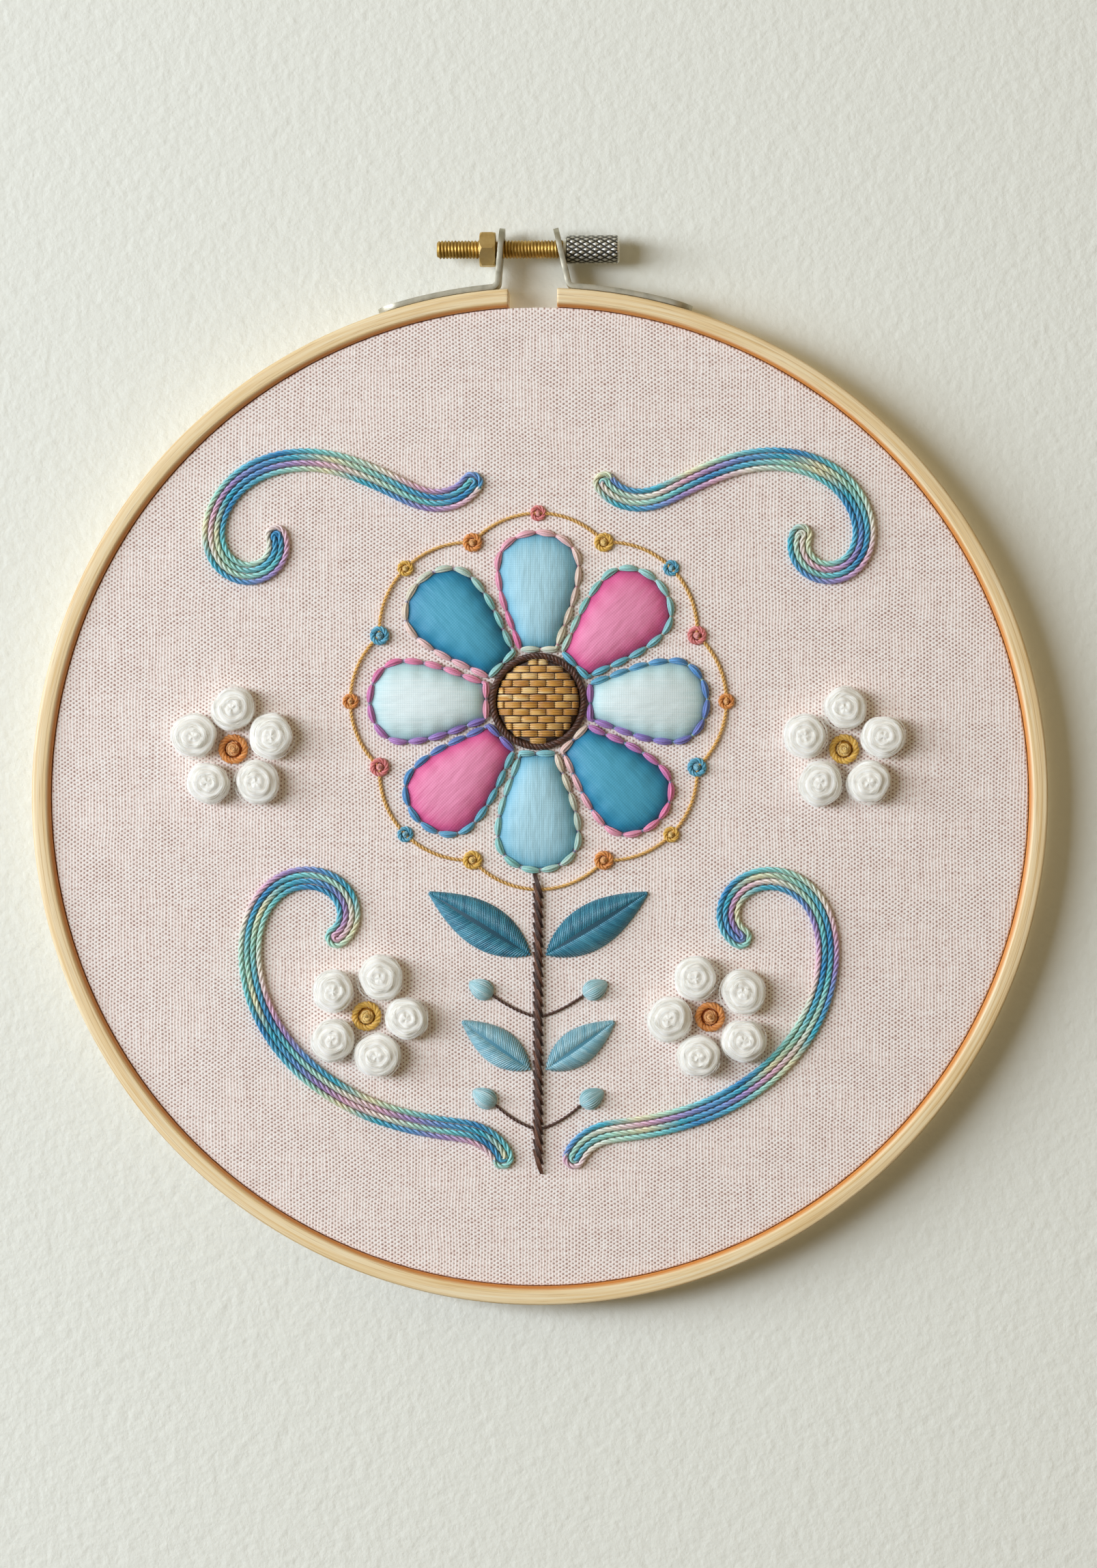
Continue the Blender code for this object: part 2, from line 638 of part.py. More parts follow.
clear_scene()
PARTS = make_collection("embroidery_hoop_art")
CUTTERS = make_collection("cutters")
CUTTERS.hide_render = True
MATERIALS = {name: make_material(name) for name in FINISHES}
FRONT = make_empty("hoop_front", rotation=(math.pi / 2, 0, 0))
SCREW_AXIS = make_empty(
    "screw_axis", FRONT, location=(0, SCREW_HEIGHT, MIDDLE_DEPTH), rotation=(0, math.pi / 2, 0)
)
make_rings()
make_cloth()
make_brackets()
make_screw()
make_flower()
make_blossoms()
make_scrolls()
make_stem_and_leaves()
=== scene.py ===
# Embroidery hoop art: a bamboo hoop closed by a screw, its stretched cloth, and raised embroidery.
# The sections follow the order in which the real one is put together. Lengths are in metres, and a
# place on the cloth is given as across (+X), up (+Z) and out of the wall (-Y).
import math
import random

import bmesh
import bpy
import numpy as np
from mathutils import Matrix, Vector


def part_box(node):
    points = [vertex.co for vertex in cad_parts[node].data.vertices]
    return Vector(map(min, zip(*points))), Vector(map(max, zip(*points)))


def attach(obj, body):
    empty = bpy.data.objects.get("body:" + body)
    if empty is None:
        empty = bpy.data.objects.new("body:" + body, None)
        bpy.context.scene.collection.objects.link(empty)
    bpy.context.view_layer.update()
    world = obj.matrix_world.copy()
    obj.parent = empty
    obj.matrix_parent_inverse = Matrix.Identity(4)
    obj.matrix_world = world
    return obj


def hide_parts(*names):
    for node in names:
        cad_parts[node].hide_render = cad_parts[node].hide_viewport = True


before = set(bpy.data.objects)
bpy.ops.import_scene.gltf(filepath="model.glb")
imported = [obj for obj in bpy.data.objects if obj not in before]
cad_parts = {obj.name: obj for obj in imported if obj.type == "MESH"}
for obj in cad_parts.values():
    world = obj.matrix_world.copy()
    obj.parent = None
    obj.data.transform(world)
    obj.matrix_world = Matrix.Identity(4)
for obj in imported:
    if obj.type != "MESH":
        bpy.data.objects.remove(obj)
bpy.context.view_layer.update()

# Outer ring
# A strip of split bamboo bent round a drum and planed, open at the top where the screw draws it
# shut. Its front inner edge is cut back at a slant, and the other edges are rubbed soft.
MM = 0.001
MERGE = 0.02 * MM
outer_low, outer_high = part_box("outer_ring")
HOOP_RADIUS = outer_high.x
HOOP_DEPTH = -outer_low.y
OUTER_WALL = 3.9 * MM
OUTER_SLANT = 0.95 * MM
OUTER_SOFT_EDGE = 0.55 * MM
SLANT_SOFT_EDGE = 0.18 * MM
RING_STEPS = 288
RING_GAP = (-6.3 * MM, 4.0 * MM)
GRAIN_LENGTH = 26 * MM
GRAIN_WIDTH = 0.55 * MM
FIBRE_LENGTH = 9 * MM
FIBRE_WIDTH = 0.16 * MM
STREAK_WIDTH = 1.6 * MM
LAYER_SPACING = 1.05 * MM


def linear(code):
    """An sRGB hex colour as linear red, green and blue, with full alpha."""
    parts = [int(code[i:i + 2], 16) / 255 for i in (0, 2, 4)]
    return (*[part / 12.92 if part <= 0.04045 else ((part + 0.055) / 1.055) ** 2.4 for part in parts], 1)


def feed(tree, socket, value):
    """Gives a socket a plain value, a hex colour, or a link from a node or from one of its outputs."""
    if isinstance(value, bpy.types.Node):
        value = next(output for output in value.outputs if output.enabled)
    if isinstance(value, bpy.types.NodeSocket):
        tree.links.new(value, socket)
    else:
        socket.default_value = linear(value) if isinstance(value, str) else value


def add(tree, kind, settings=None):
    """Adds a node, whose operation may follow its kind. Settings are its properties, sockets or stops."""
    kind, _, operation = kind.partition(".")
    node = tree.nodes.new("ShaderNode" + kind)
    if operation:
        node.operation = operation
    for key, value in (settings or {}).items():
        if key == "stops":
            for i, (place, code) in enumerate(value):
                stop = node.color_ramp.elements[i] if i < 2 else node.color_ramp.elements.new(place)
                stop.position = place
                stop.color = linear(code)
        elif isinstance(key, str) and hasattr(node, key):
            setattr(node, key, value)
        else:
            feed(tree, node.inputs[key], value)
    return node


def set_shader(tree, **sockets):
    """Gives a finish's shader its values and links, by the names of its sockets."""
    for socket, value in sockets.items():
        feed(tree, tree.nodes["Principled BSDF"].inputs[socket.replace("_", " ")], value)


def new_finish(name, **sockets):
    """A material with a Principled shader, and its node tree."""
    finish = bpy.data.materials.new(name)
    finish.use_nodes = True
    set_shader(finish.node_tree, **sockets)
    return finish, finish.node_tree


def dress(tree, colour, height, strength, depth, **sockets):
    """Joins a finish's colour and its relief to the shader."""
    relief = add(tree, "Bump", {"Strength": strength, "Distance": depth, "Height": height})
    set_shader(tree, Base_Color=colour, Normal=relief, **sockets)


def drawn_noise(tree, place, scale, detail, roughness=0.5):
    """Noise that is drawn out along an axis, as fibres and brushed lines are."""
    drawn = add(tree, "Mapping", {"Scale": scale, "Vector": place})
    return add(tree, "TexNoise", {"Scale": 1.0, "Detail": detail, "Roughness": roughness, "Vector": drawn})


def finish_piece(name, mesh, finish, node=None, body="hoop", crease=50):
    """Puts a mesh in the scene as a piece that rides on a body and stands for its CAD node."""
    piece = loose(mesh)
    piece.name = mesh.name = name
    mesh.materials.clear()
    mesh.materials.append(finish)
    mesh.shade_smooth()
    mesh.set_sharp_from_angle(angle=math.radians(crease))
    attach(piece, body)
    if node:
        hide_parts(node)
    return piece


def loose(shape):
    """An object with a given mesh or curve."""
    obj = bpy.data.objects.new(shape.name, shape)
    bpy.context.scene.collection.objects.link(obj)
    return obj


def plain_mesh(bm):
    mesh = bpy.data.meshes.new("mesh")
    bm.to_mesh(mesh)
    bm.free()
    return mesh


def welded_mesh(bm):
    bmesh.ops.remove_doubles(bm, verts=bm.verts, dist=MERGE)
    bmesh.ops.recalc_face_normals(bm, faces=bm.faces)
    return plain_mesh(bm)


def spun(line, steps, axis=(0, 1, 0), cent=(0, 0, 0), closed=False, turns=1, rise=0.0):
    """A skin made by turning a line of points round an axis, along which it may climb at each turn."""
    bm = bmesh.new()
    verts = [bm.verts.new(place) for place in line]
    edges = [bm.edges.new((verts[i - 1], verts[i])) for i in range(0 if closed else 1, len(verts))]
    bmesh.ops.spin(
        bm, geom=verts + edges, cent=cent, axis=axis, dvec=[part * rise / steps for part in axis],
        angle=math.tau * turns, steps=steps * turns, use_merge=not rise,
    )
    bmesh.ops.remove_doubles(bm, verts=bm.verts, dist=MERGE)
    return bm


def close_holes(bm):
    bmesh.ops.holes_fill(bm, edges=[edge for edge in bm.edges if edge.is_boundary], sides=0)


def soften(bm, edges, width, segments):
    bmesh.ops.bevel(
        bm, geom=edges, offset=width, offset_type="OFFSET", segments=segments, profile=0.5,
        affect="EDGES", clamp_overlap=True, material=-1,
    )


def wooden_ring(section):
    """A ring whose corners are given by radius and depth, with the width and steps of their rubbing."""
    bm = spun([(radius, -depth, 0) for radius, depth, *_ in section], RING_STEPS, closed=True)
    for radius, depth, width, segments in section:
        corner = {vert for vert in bm.verts if abs(math.hypot(vert.co.x, vert.co.z) - radius) < MERGE
                  and abs(-vert.co.y - depth) < MERGE}
        soften(bm, [edge for edge in bm.edges if corner.issuperset(edge.verts)], width, segments)
    return bm


def grained(bm, inside):
    """A bent strip's mesh, with how far round, how deep in the wall and how far back each point lies."""
    mesh = welded_mesh(bm)
    places = np.array([vert.co for vert in mesh.vertices])
    radius = np.hypot(places[:, 0], places[:, 2])
    round_it = np.arctan2(places[:, 0], -places[:, 2]) * HOOP_RADIUS
    grain = np.stack([round_it, radius - inside, -places[:, 1]], axis=1)
    mesh.attributes.new("grain", "FLOAT_VECTOR", "POINT").data.foreach_set("vector", grain.ravel())
    return mesh


def planed_bamboo(name, pale, base, dark, line, inner_edge_shade):
    """Split bamboo, planed and thinly sealed: pale, with long straight fibres and a soft gloss. Its inner
    wall and slanted inner edge, next to the cloth, are tinted deeper and warmer as painted shade."""
    finish, tree = new_finish(name, Roughness=0.46, Coat_Weight=0.12, Coat_Roughness=0.35)
    grain = add(tree, "Attribute", {"attribute_name": "grain"}).outputs["Vector"]
    drawings = (
        (GRAIN_LENGTH * 3, 1 / STREAK_WIDTH, 3.0), (GRAIN_LENGTH, 1 / GRAIN_WIDTH, 5.0, 0.62),
        (FIBRE_LENGTH, 1 / FIBRE_WIDTH, 2.0), (GRAIN_LENGTH * 2, 0, 2.0),
    )
    streaks, bands, fibres, drift = [
        drawn_noise(tree, grain, (1 / length, across, across), *rest) for length, across, *rest in drawings
    ]
    body = add(tree, "ValToRGB", {"stops": ((0.30, pale), (0.66, dark), (0.48, base)), 0: bands})
    stain = add(tree, "ValToRGB", {"stops": ((0.35, "FFFFFF"), (0.70, "E6CDA0")), 0: streaks})
    tinted = add(tree, "Mix", {"data_type": "RGBA", "blend_type": "MULTIPLY", 0: 0.2, 6: body, 7: stain})
    depth = add(tree, "SeparateXYZ", {0: grain}).outputs[1]
    # Painted shade: next to the cloth the inner wall and slant are tinted deeper and warmer, as shade falls
    # there
    inner_edge_shade_mask = add(tree, "MapRange", {0: depth, 1: 0.35 * OUTER_SLANT, 2: OUTER_SLANT, 3: 0.95, 4: 0.0})
    inner_edge_shaded = add(tree, "Mix", {
        "data_type": "RGBA", "blend_type": "MULTIPLY", 0: inner_edge_shade_mask, 6: tinted, 7: inner_edge_shade,
    })
    layer = add(tree, "Math.MULTIPLY_ADD", {0: depth, 1: 1 / LAYER_SPACING, 2: drift})
    between = add(tree, "Math.PINGPONG", {0: layer, 1: 0.5})
    thin_line = add(tree, "MapRange", {0: between, 1: 0.0, 2: 0.10, 3: 0.55, 4: 0.0})
    seen = add(tree, "MapRange", {0: streaks, 1: 0.42, 2: 0.58})
    layer_line = add(tree, "Math.MULTIPLY", {0: thin_line, 1: seen})
    pore = add(tree, "MapRange", {0: fibres, 1: 0.60, 2: 0.72, 4: 0.45})
    marks = add(tree, "Math.MAXIMUM", {0: layer_line, 1: pore})
    colour = add(tree, "Mix", {"data_type": "RGBA", 0: marks, 6: inner_edge_shaded, 7: line})
    dress(tree, colour, fibres, 0.5, 0.04 * MM)
    return finish


outer_inside = HOOP_RADIUS - OUTER_WALL
ring = wooden_ring((
    (HOOP_RADIUS, HOOP_DEPTH, OUTER_SOFT_EDGE, 3), (HOOP_RADIUS, 0, OUTER_SOFT_EDGE, 3),
    (outer_inside, 0, OUTER_SOFT_EDGE / 2, 2), (outer_inside, HOOP_DEPTH - OUTER_SLANT, SLANT_SOFT_EDGE, 2),
    (outer_inside + OUTER_SLANT, HOOP_DEPTH, SLANT_SOFT_EDGE, 2),
))
for side in RING_GAP:
    near_gap = [face for face in ring.faces
                if face.calc_center_median().z > 0 and abs(face.calc_center_median().x) < 4 * OUTER_WALL]
    parts = dict.fromkeys(part for face in near_gap for part in (face, *face.edges, *face.verts))
    bmesh.ops.bisect_plane(ring, geom=list(parts), dist=MERGE / 10, plane_co=(side, 0, 0), plane_no=(1, 0, 0))
in_gap = [face for face in ring.faces
          if face.calc_center_median().z > 0 and RING_GAP[0] < face.calc_center_median().x < RING_GAP[1]]
bmesh.ops.delete(ring, geom=in_gap, context="FACES")
close_holes(ring)
cut_ends = [edge for edge in ring.edges if edge.calc_face_angle(0) > math.radians(60)
            and all(min(abs(vert.co.x - side) for side in RING_GAP) < MERGE for vert in edge.verts)
            and edge.verts[0].co.z > 0]
soften(ring, cut_ends, SLANT_SOFT_EDGE, 2)
# The last colour is the painted shade of the inner wall and slant
bamboo = planed_bamboo("planed_bamboo_sealed", "FCECC6", "F7DFB0", "ECCB90", "B07F40", "E09C4C")
finish_piece("outer_ring_bamboo", grained(ring, outer_inside), bamboo, "outer_ring")

# Brackets
# Two strips punched from nickel-plated steel sheet, each with a round-ended foot that lies along the
# ring's outer face and is glued to it, and a round-topped ear bent up to carry the screw.
SHEET_THICKNESS = 1.1 * MM
FOOT_CLEARANCE = 0.15 * MM
EAR_HALF_WIDTH = 4.0 * MM
EAR_HOLE_RADIUS = 2.25 * MM
EAR_BEND_RADIUS = 1.4 * MM
PUNCHED_EDGE = 0.22 * MM
PUNCH_LENGTH = 30 * MM
# Name, side, the ear's distance from the middle at its foot, its lean, and where the foot ends
BRACKETS = (
    ("bracket_left", -1, 8.60 * MM, math.radians(4.5), math.radians(18.3)),
    ("bracket_right", 1, 6.45 * MM, math.radians(13.3), math.radians(17.5)),
)
bolt_low, bolt_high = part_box("screw_bolt")
SCREW_UP = (bolt_low.z + bolt_high.z) / 2
MIDDLE_OUT = HOOP_DEPTH / 2
ear_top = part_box("bracket_left")[1].z


def brushed_metal(name, base, dark, roughness, brush_length, brush_width, grime_and_shade=None):
    """Plated or bare metal with fine drawn lines, a few duller, finger-marked places, and dirt with
    painted shade darkening whatever grooves it has."""
    finish, tree = new_finish(name, Metallic=1.0)
    place = add(tree, "TexCoord").outputs["Object"]
    marks = add(tree, "TexNoise", {"Scale": 420.0, "Detail": 3.0, "Vector": place})
    lines = drawn_noise(tree, place, (1 / brush_length, 1 / brush_width, 1 / brush_width), 2.0)
    colour = add(tree, "ValToRGB", {"stops": ((0.38, base), (0.75, dark)), 0: marks})
    dull = add(tree, "MapRange", {0: marks, 1: 0.30, 2: 0.75, 3: roughness - 0.06, 4: roughness + 0.14})
    if grime_and_shade:
        # Grooves are darkened by dirt and by painted shade, as they lie in shadow
        groove = add(tree, "Attribute", {"attribute_name": "groove"}).outputs["Fac"]
        deep = add(tree, "MapRange", {0: groove, 1: 0.25, 2: 0.80, 4: 0.97})
        colour = add(tree, "Mix", {"data_type": "RGBA", 0: deep, 6: colour, 7: grime_and_shade})
    dress(tree, colour, lines, 0.35, 0.02 * MM, Roughness=dull)
    return finish


def bracket_line(ear_foot, lean, foot_end):
    """The strip's middle line from foot tip to ear top, as across, up and half width."""
    radius = HOOP_RADIUS + FOOT_CLEARANCE + SHEET_THICKNESS / 2
    corner = math.asin(ear_foot / radius)
    turn = math.pi / 2 - corner - lean
    bend_reach = EAR_BEND_RADIUS * math.tan(turn / 2)
    bend_start = corner + bend_reach / radius
    ear_length = (ear_top - radius * math.cos(corner)) / math.cos(lean) - bend_reach
    full = foot_end - EAR_HALF_WIDTH / radius
    foot = []
    for i in range(1, 9):
        swing = math.pi / 16 * i
        foot.append((full + EAR_HALF_WIDTH * math.cos(swing) / radius, EAR_HALF_WIDTH * math.sin(swing)))
    foot += [(full + (bend_start - full) * i / 20, EAR_HALF_WIDTH) for i in range(1, 21)]
    line = [(radius * math.sin(angle), radius * math.cos(angle), half) for angle, half in foot]
    across, up, _ = line[-1]
    for i in range(10):
        heading = math.pi - bend_start - turn * (i + 0.5) / 10
        across += EAR_BEND_RADIUS * turn / 10 * math.cos(heading)
        up += EAR_BEND_RADIUS * turn / 10 * math.sin(heading)
        line.append((across, up, EAR_HALF_WIDTH))
    for i in range(12):
        swing = math.pi / 2 * (1 - i / 12)
        along = ear_length - EAR_HALF_WIDTH * (1 - math.cos(swing))
        line.append((across - along * math.sin(lean), up + along * math.cos(lean),
                     EAR_HALF_WIDTH * math.sin(swing)))
    return line


def modify(obj, kind, **values):
    """Gives an object a modifier, which stays until it is applied."""
    modifier = obj.modifiers.new(kind.lower(), kind)
    for key, value in values.items():
        setattr(modifier, key, value)


def applied(obj, *helpers):
    """The mesh that an object's modifiers give. The object and its helpers are then taken away."""
    bpy.context.view_layer.update()
    mesh = bpy.data.meshes.new_from_object(obj.evaluated_get(bpy.context.evaluated_depsgraph_get()))
    for spent in (obj, *helpers):
        bpy.data.objects.remove(spent)
    return mesh


def bar(radius, length, segments, along=0.0, chamfer=0.0):
    """A round or six-sided bar along the screw's axis."""
    bm = bmesh.new()
    bmesh.ops.create_cone(bm, cap_ends=True, segments=segments, radius1=radius, radius2=radius, depth=length)
    if chamfer:
        soften(bm, [edge for edge in bm.edges if edge.calc_face_angle(0) > 1], chamfer, 1)
    place = Matrix.Translation((along, -MIDDLE_OUT, SCREW_UP)) @ Matrix.Rotation(math.pi / 2, 4, "Y")
    bmesh.ops.transform(bm, matrix=place, verts=bm.verts)
    return loose(plain_mesh(bm))


nickel = brushed_metal("nickel_plated_steel", "C8C3B0", "9E9A88", 0.50, 4 * MM, 0.12 * MM)
for name, side, ear_foot, lean, foot_end in BRACKETS:
    bm = bmesh.new()
    cuts = [[bm.verts.new((side * across, -MIDDLE_OUT - end * half, up)) for end in (-1, 1)]
            for across, up, half in bracket_line(ear_foot, lean, foot_end)]
    for (low_a, high_a), (low_b, high_b) in zip(cuts, cuts[1:]):
        bm.faces.new((low_a, low_b, high_b, high_a))
    strip = loose(plain_mesh(bm))
    punch = bar(EAR_HOLE_RADIUS, PUNCH_LENGTH, 40)
    modify(strip, "SOLIDIFY", thickness=SHEET_THICKNESS, offset=0)
    modify(strip, "BOOLEAN", operation="DIFFERENCE", solver="EXACT", object=punch)
    modify(strip, "BEVEL", width=PUNCHED_EDGE, segments=2, limit_method="ANGLE", angle_limit=math.radians(50),
           use_clamp_overlap=True)
    finish_piece(name + "_steel", applied(strip, punch), nickel, name)

# Screw bolt
# A brass bolt with a rolled V thread, cut square and slightly chamfered at its tip. Its other end is
# fixed in the thumb head.
BOLT_RADIUS = bolt_high.z - SCREW_UP
THREAD_PITCH = 0.7 * MM
THREAD_DEPTH = 0.34 * MM
THREAD_CREST = 0.10 * MM
THREAD_STEPS = 24


def turned(line, steps, **climb):
    """A skin made by turning a line round the screw. Its points are places along it and reaches."""
    return spun([(along, -MIDDLE_OUT, SCREW_UP + reach) for along, reach in line], steps, (1, 0, 0),
                (0, -MIDDLE_OUT, SCREW_UP), **climb)


def spoke_of(vert):
    """The way from the screw's axis out to a point."""
    return vert.co - Vector((vert.co.x, -MIDDLE_OUT, SCREW_UP))


thread = turned(
    [(bolt_low.x - THREAD_PITCH + along, BOLT_RADIUS - deep) for along, deep in (
        (0, THREAD_DEPTH), (THREAD_PITCH / 2 - THREAD_CREST / 2, 0), (THREAD_PITCH / 2 + THREAD_CREST / 2, 0),
        (THREAD_PITCH, THREAD_DEPTH),
    )],
    THREAD_STEPS, turns=math.ceil((bolt_high.x - bolt_low.x) / THREAD_PITCH) + 2, rise=THREAD_PITCH,
)
for end, outward in ((bolt_low.x, -1), (bolt_high.x, 1)):
    bmesh.ops.bisect_plane(
        thread, geom=thread.verts[:] + thread.edges[:] + thread.faces[:], dist=MERGE / 10,
        plane_co=(end, 0, 0), plane_no=(outward, 0, 0), clear_outer=True,
    )
close_holes(thread)
for vert in thread.verts:
    spoke = spoke_of(vert)
    allowed = BOLT_RADIUS - THREAD_DEPTH * 1.4 + (vert.co.x - bolt_low.x)
    if spoke.length > allowed:
        vert.co -= spoke * (1 - allowed / spoke.length)
brass = brushed_metal("bare_brass", "CCAA60", "9C7A38", 0.48, 0.3 * MM, 0.3 * MM)
finish_piece("screw_bolt_thread", welded_mesh(thread), brass, "screw_bolt", "screw")

# Thumb head
# A turned steel barrel, fixed on the bolt and turning with it, with a chamfered flat end. Its collar
# sits in the ear's hole, and a diamond knurl is rolled over it and its round shoulder.
head_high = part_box("thumb_head")[1]
HEAD_RADIUS = head_high.z - SCREW_UP
KNURL_PITCH = 1.30 * MM
KNURL_LENGTH = 1.95 * MM
KNURL_DEPTH = 0.26 * MM
KNURL_STEPS = 6
KNURL_RIDGES = round(math.tau * HEAD_RADIUS / KNURL_PITCH)
COLLAR_START = 5.2 * MM
COLLAR_RADIUS = 2.15 * MM
SHOULDER_START = 5.75 * MM
SHOULDER_LENGTH = 0.4 * MM
HEAD_CHAMFER = 0.45 * MM
DIMPLE_RADII = (1.3 * MM, 0.9 * MM)
DIMPLE_DEPTH = 0.3 * MM

shoulder_rise = HEAD_RADIUS - COLLAR_RADIUS
outline = [(COLLAR_START, 0), (COLLAR_START, COLLAR_RADIUS), (SHOULDER_START, COLLAR_RADIUS)]
for i in range(1, 9):
    swing = math.pi / 2 * i / 8
    outline.append((SHOULDER_START + SHOULDER_LENGTH * (1 - math.cos(swing)),
                    COLLAR_RADIUS + shoulder_rise * math.sin(swing)))
knurl_start = SHOULDER_START + SHOULDER_LENGTH
knurl_end = head_high.x - HEAD_CHAMFER
knurl_rows = round((knurl_end - knurl_start) / KNURL_LENGTH * KNURL_STEPS * 1.5)
outline += [(knurl_start + (knurl_end - knurl_start) * i / knurl_rows, HEAD_RADIUS)
            for i in range(1, knurl_rows + 1)]
outline += [(head_high.x, HEAD_RADIUS - HEAD_CHAMFER), (head_high.x, DIMPLE_RADII[0]),
            (head_high.x - DIMPLE_DEPTH, DIMPLE_RADII[1]), (head_high.x - DIMPLE_DEPTH, 0)]
head = turned(outline, KNURL_RIDGES * KNURL_STEPS)
groove = head.verts.layers.float.new("groove")
for vert in head.verts:
    spoke = spoke_of(vert)
    if spoke.length > COLLAR_RADIUS + MERGE and vert.co.x < knurl_end + MERGE:
        around = KNURL_RIDGES * math.atan2(spoke.y, spoke.z) / math.tau
        along = (vert.co.x - knurl_start) / KNURL_LENGTH
        ridges = [abs(2 * ((around + lead * along) % 1) - 1) for lead in (-1, 1)]
        fade = min(1, (spoke.length - COLLAR_RADIUS) / shoulder_rise)
        vert[groove] = (1 - min(1, 1.25 * min(ridges))) * fade
        vert.co -= spoke.normalized() * KNURL_DEPTH * vert[groove]
# The knurl's grooves are painted dark: dirt together with painted shade
knurled = brushed_metal("knurled_steel", "FFFFFA", "ECEAE0", 0.42, 0.4 * MM, 0.4 * MM, grime_and_shade="2B281F")
finish_piece("thumb_head_knurled", welded_mesh(head), knurled, "thumb_head", "screw")

# Hex nut
# A brass nut held against the left ear, with the corners of both faces turned off at a slant. It
# stays still while the screw turns in it.
nut_low, nut_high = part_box("hex_nut")
NUT_FLATS = 7.0 * MM
NUT_CHAMFER = 0.55 * MM
NUT_BORE = 2.0 * MM
NUT_DRAWN_UP = 0.25 * MM
BORE_CHAMFER = 0.25 * MM

nut_half = (nut_high.x - nut_low.x) / 2
nut_middle = nut_low.x + nut_half + NUT_DRAWN_UP
nut_corner = NUT_FLATS / 2 / math.cos(math.pi / 6)
blank = bar(nut_corner, 2 * nut_half, 6, nut_middle)
rounding = bar(nut_corner, 2 * nut_half, 64, nut_middle, NUT_CHAMFER)
flare = NUT_BORE + BORE_CHAMFER
drill_line = [
    (-2 * nut_half, 0), (-2 * nut_half, flare), (-nut_half, flare), (BORE_CHAMFER - nut_half, NUT_BORE),
]
drill_line += [(-along, reach) for along, reach in reversed(drill_line)]
drill = loose(welded_mesh(turned([(nut_middle + along, reach) for along, reach in drill_line], 40)))
for cutter, operation in ((rounding, "INTERSECT"), (drill, "DIFFERENCE")):
    modify(blank, "BOOLEAN", operation=operation, solver="EXACT", object=cutter)
nut_brass = brushed_metal("dull_brass", "EBCE90", "C6A566", 0.50, 0.5 * MM, 0.12 * MM)
finish_piece("hex_nut_brass", applied(blank, rounding, drill), nut_brass, "hex_nut", crease=30)

# Inner ring
# The closed ring inside the cloth, of the same bamboo and rubbed soft along all four edges. It is
# bare wood, seen only from behind.
inner_low, inner_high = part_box("inner_ring")
INNER_RADIUS = inner_high.x
INNER_WALL = 3.5 * MM
INNER_DEPTH = -inner_low.y
INNER_SOFT_EDGE = 0.5 * MM

inner_inside = INNER_RADIUS - INNER_WALL
ring = wooden_ring([(radius, depth, INNER_SOFT_EDGE, 2) for radius, depth in (
    (inner_inside, 0), (INNER_RADIUS, 0), (INNER_RADIUS, INNER_DEPTH), (inner_inside, INNER_DEPTH),
)])
bare_bamboo = planed_bamboo("planed_bamboo_bare", "F1DDB2", "E4C891", "D2AE74", "9C7138", "FFFFFF")
finish_piece("inner_ring_bamboo", grained(ring, inner_inside), bare_bamboo, "inner_ring")

# Ground cloth
# Even-weave cotton, plain woven from soft blush threads with a small hole at each crossing. It is
# stretched over the inner ring's front edge, drawn back between the rings and trimmed at the back.
cloth_low, cloth_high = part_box("ground_cloth")
CLOTH_FRONT = -cloth_low.y
CLOTH_TRIM = -cloth_high.y
CLOTH_EASE = 0.18 * MM
CLOTH_RADIUS = cloth_high.x + CLOTH_EASE
CLOTH_THICKNESS = 1.0 * MM
CLOTH_CORNER = 0.4 * MM
CLOTH_CORNER_STEPS = 4
CLOTH_RING_STEP = 2.2 * MM
CLOTH_UNEVEN = 0.10 * MM
# The real rows of holes are 0.51 mm apart, with a hole each 0.62 mm along a row. That is too fine for
# the render, so the weave is drawn coarser.
ROW_SPACING = 0.66 * MM
HOLE_PITCH = 0.86 * MM
SLUB_LENGTH = 11 * MM
HOLE_DEPTH = 0.16 * MM
PATCH_SIZE = 7 * MM
WAVER = 1.6 * MM


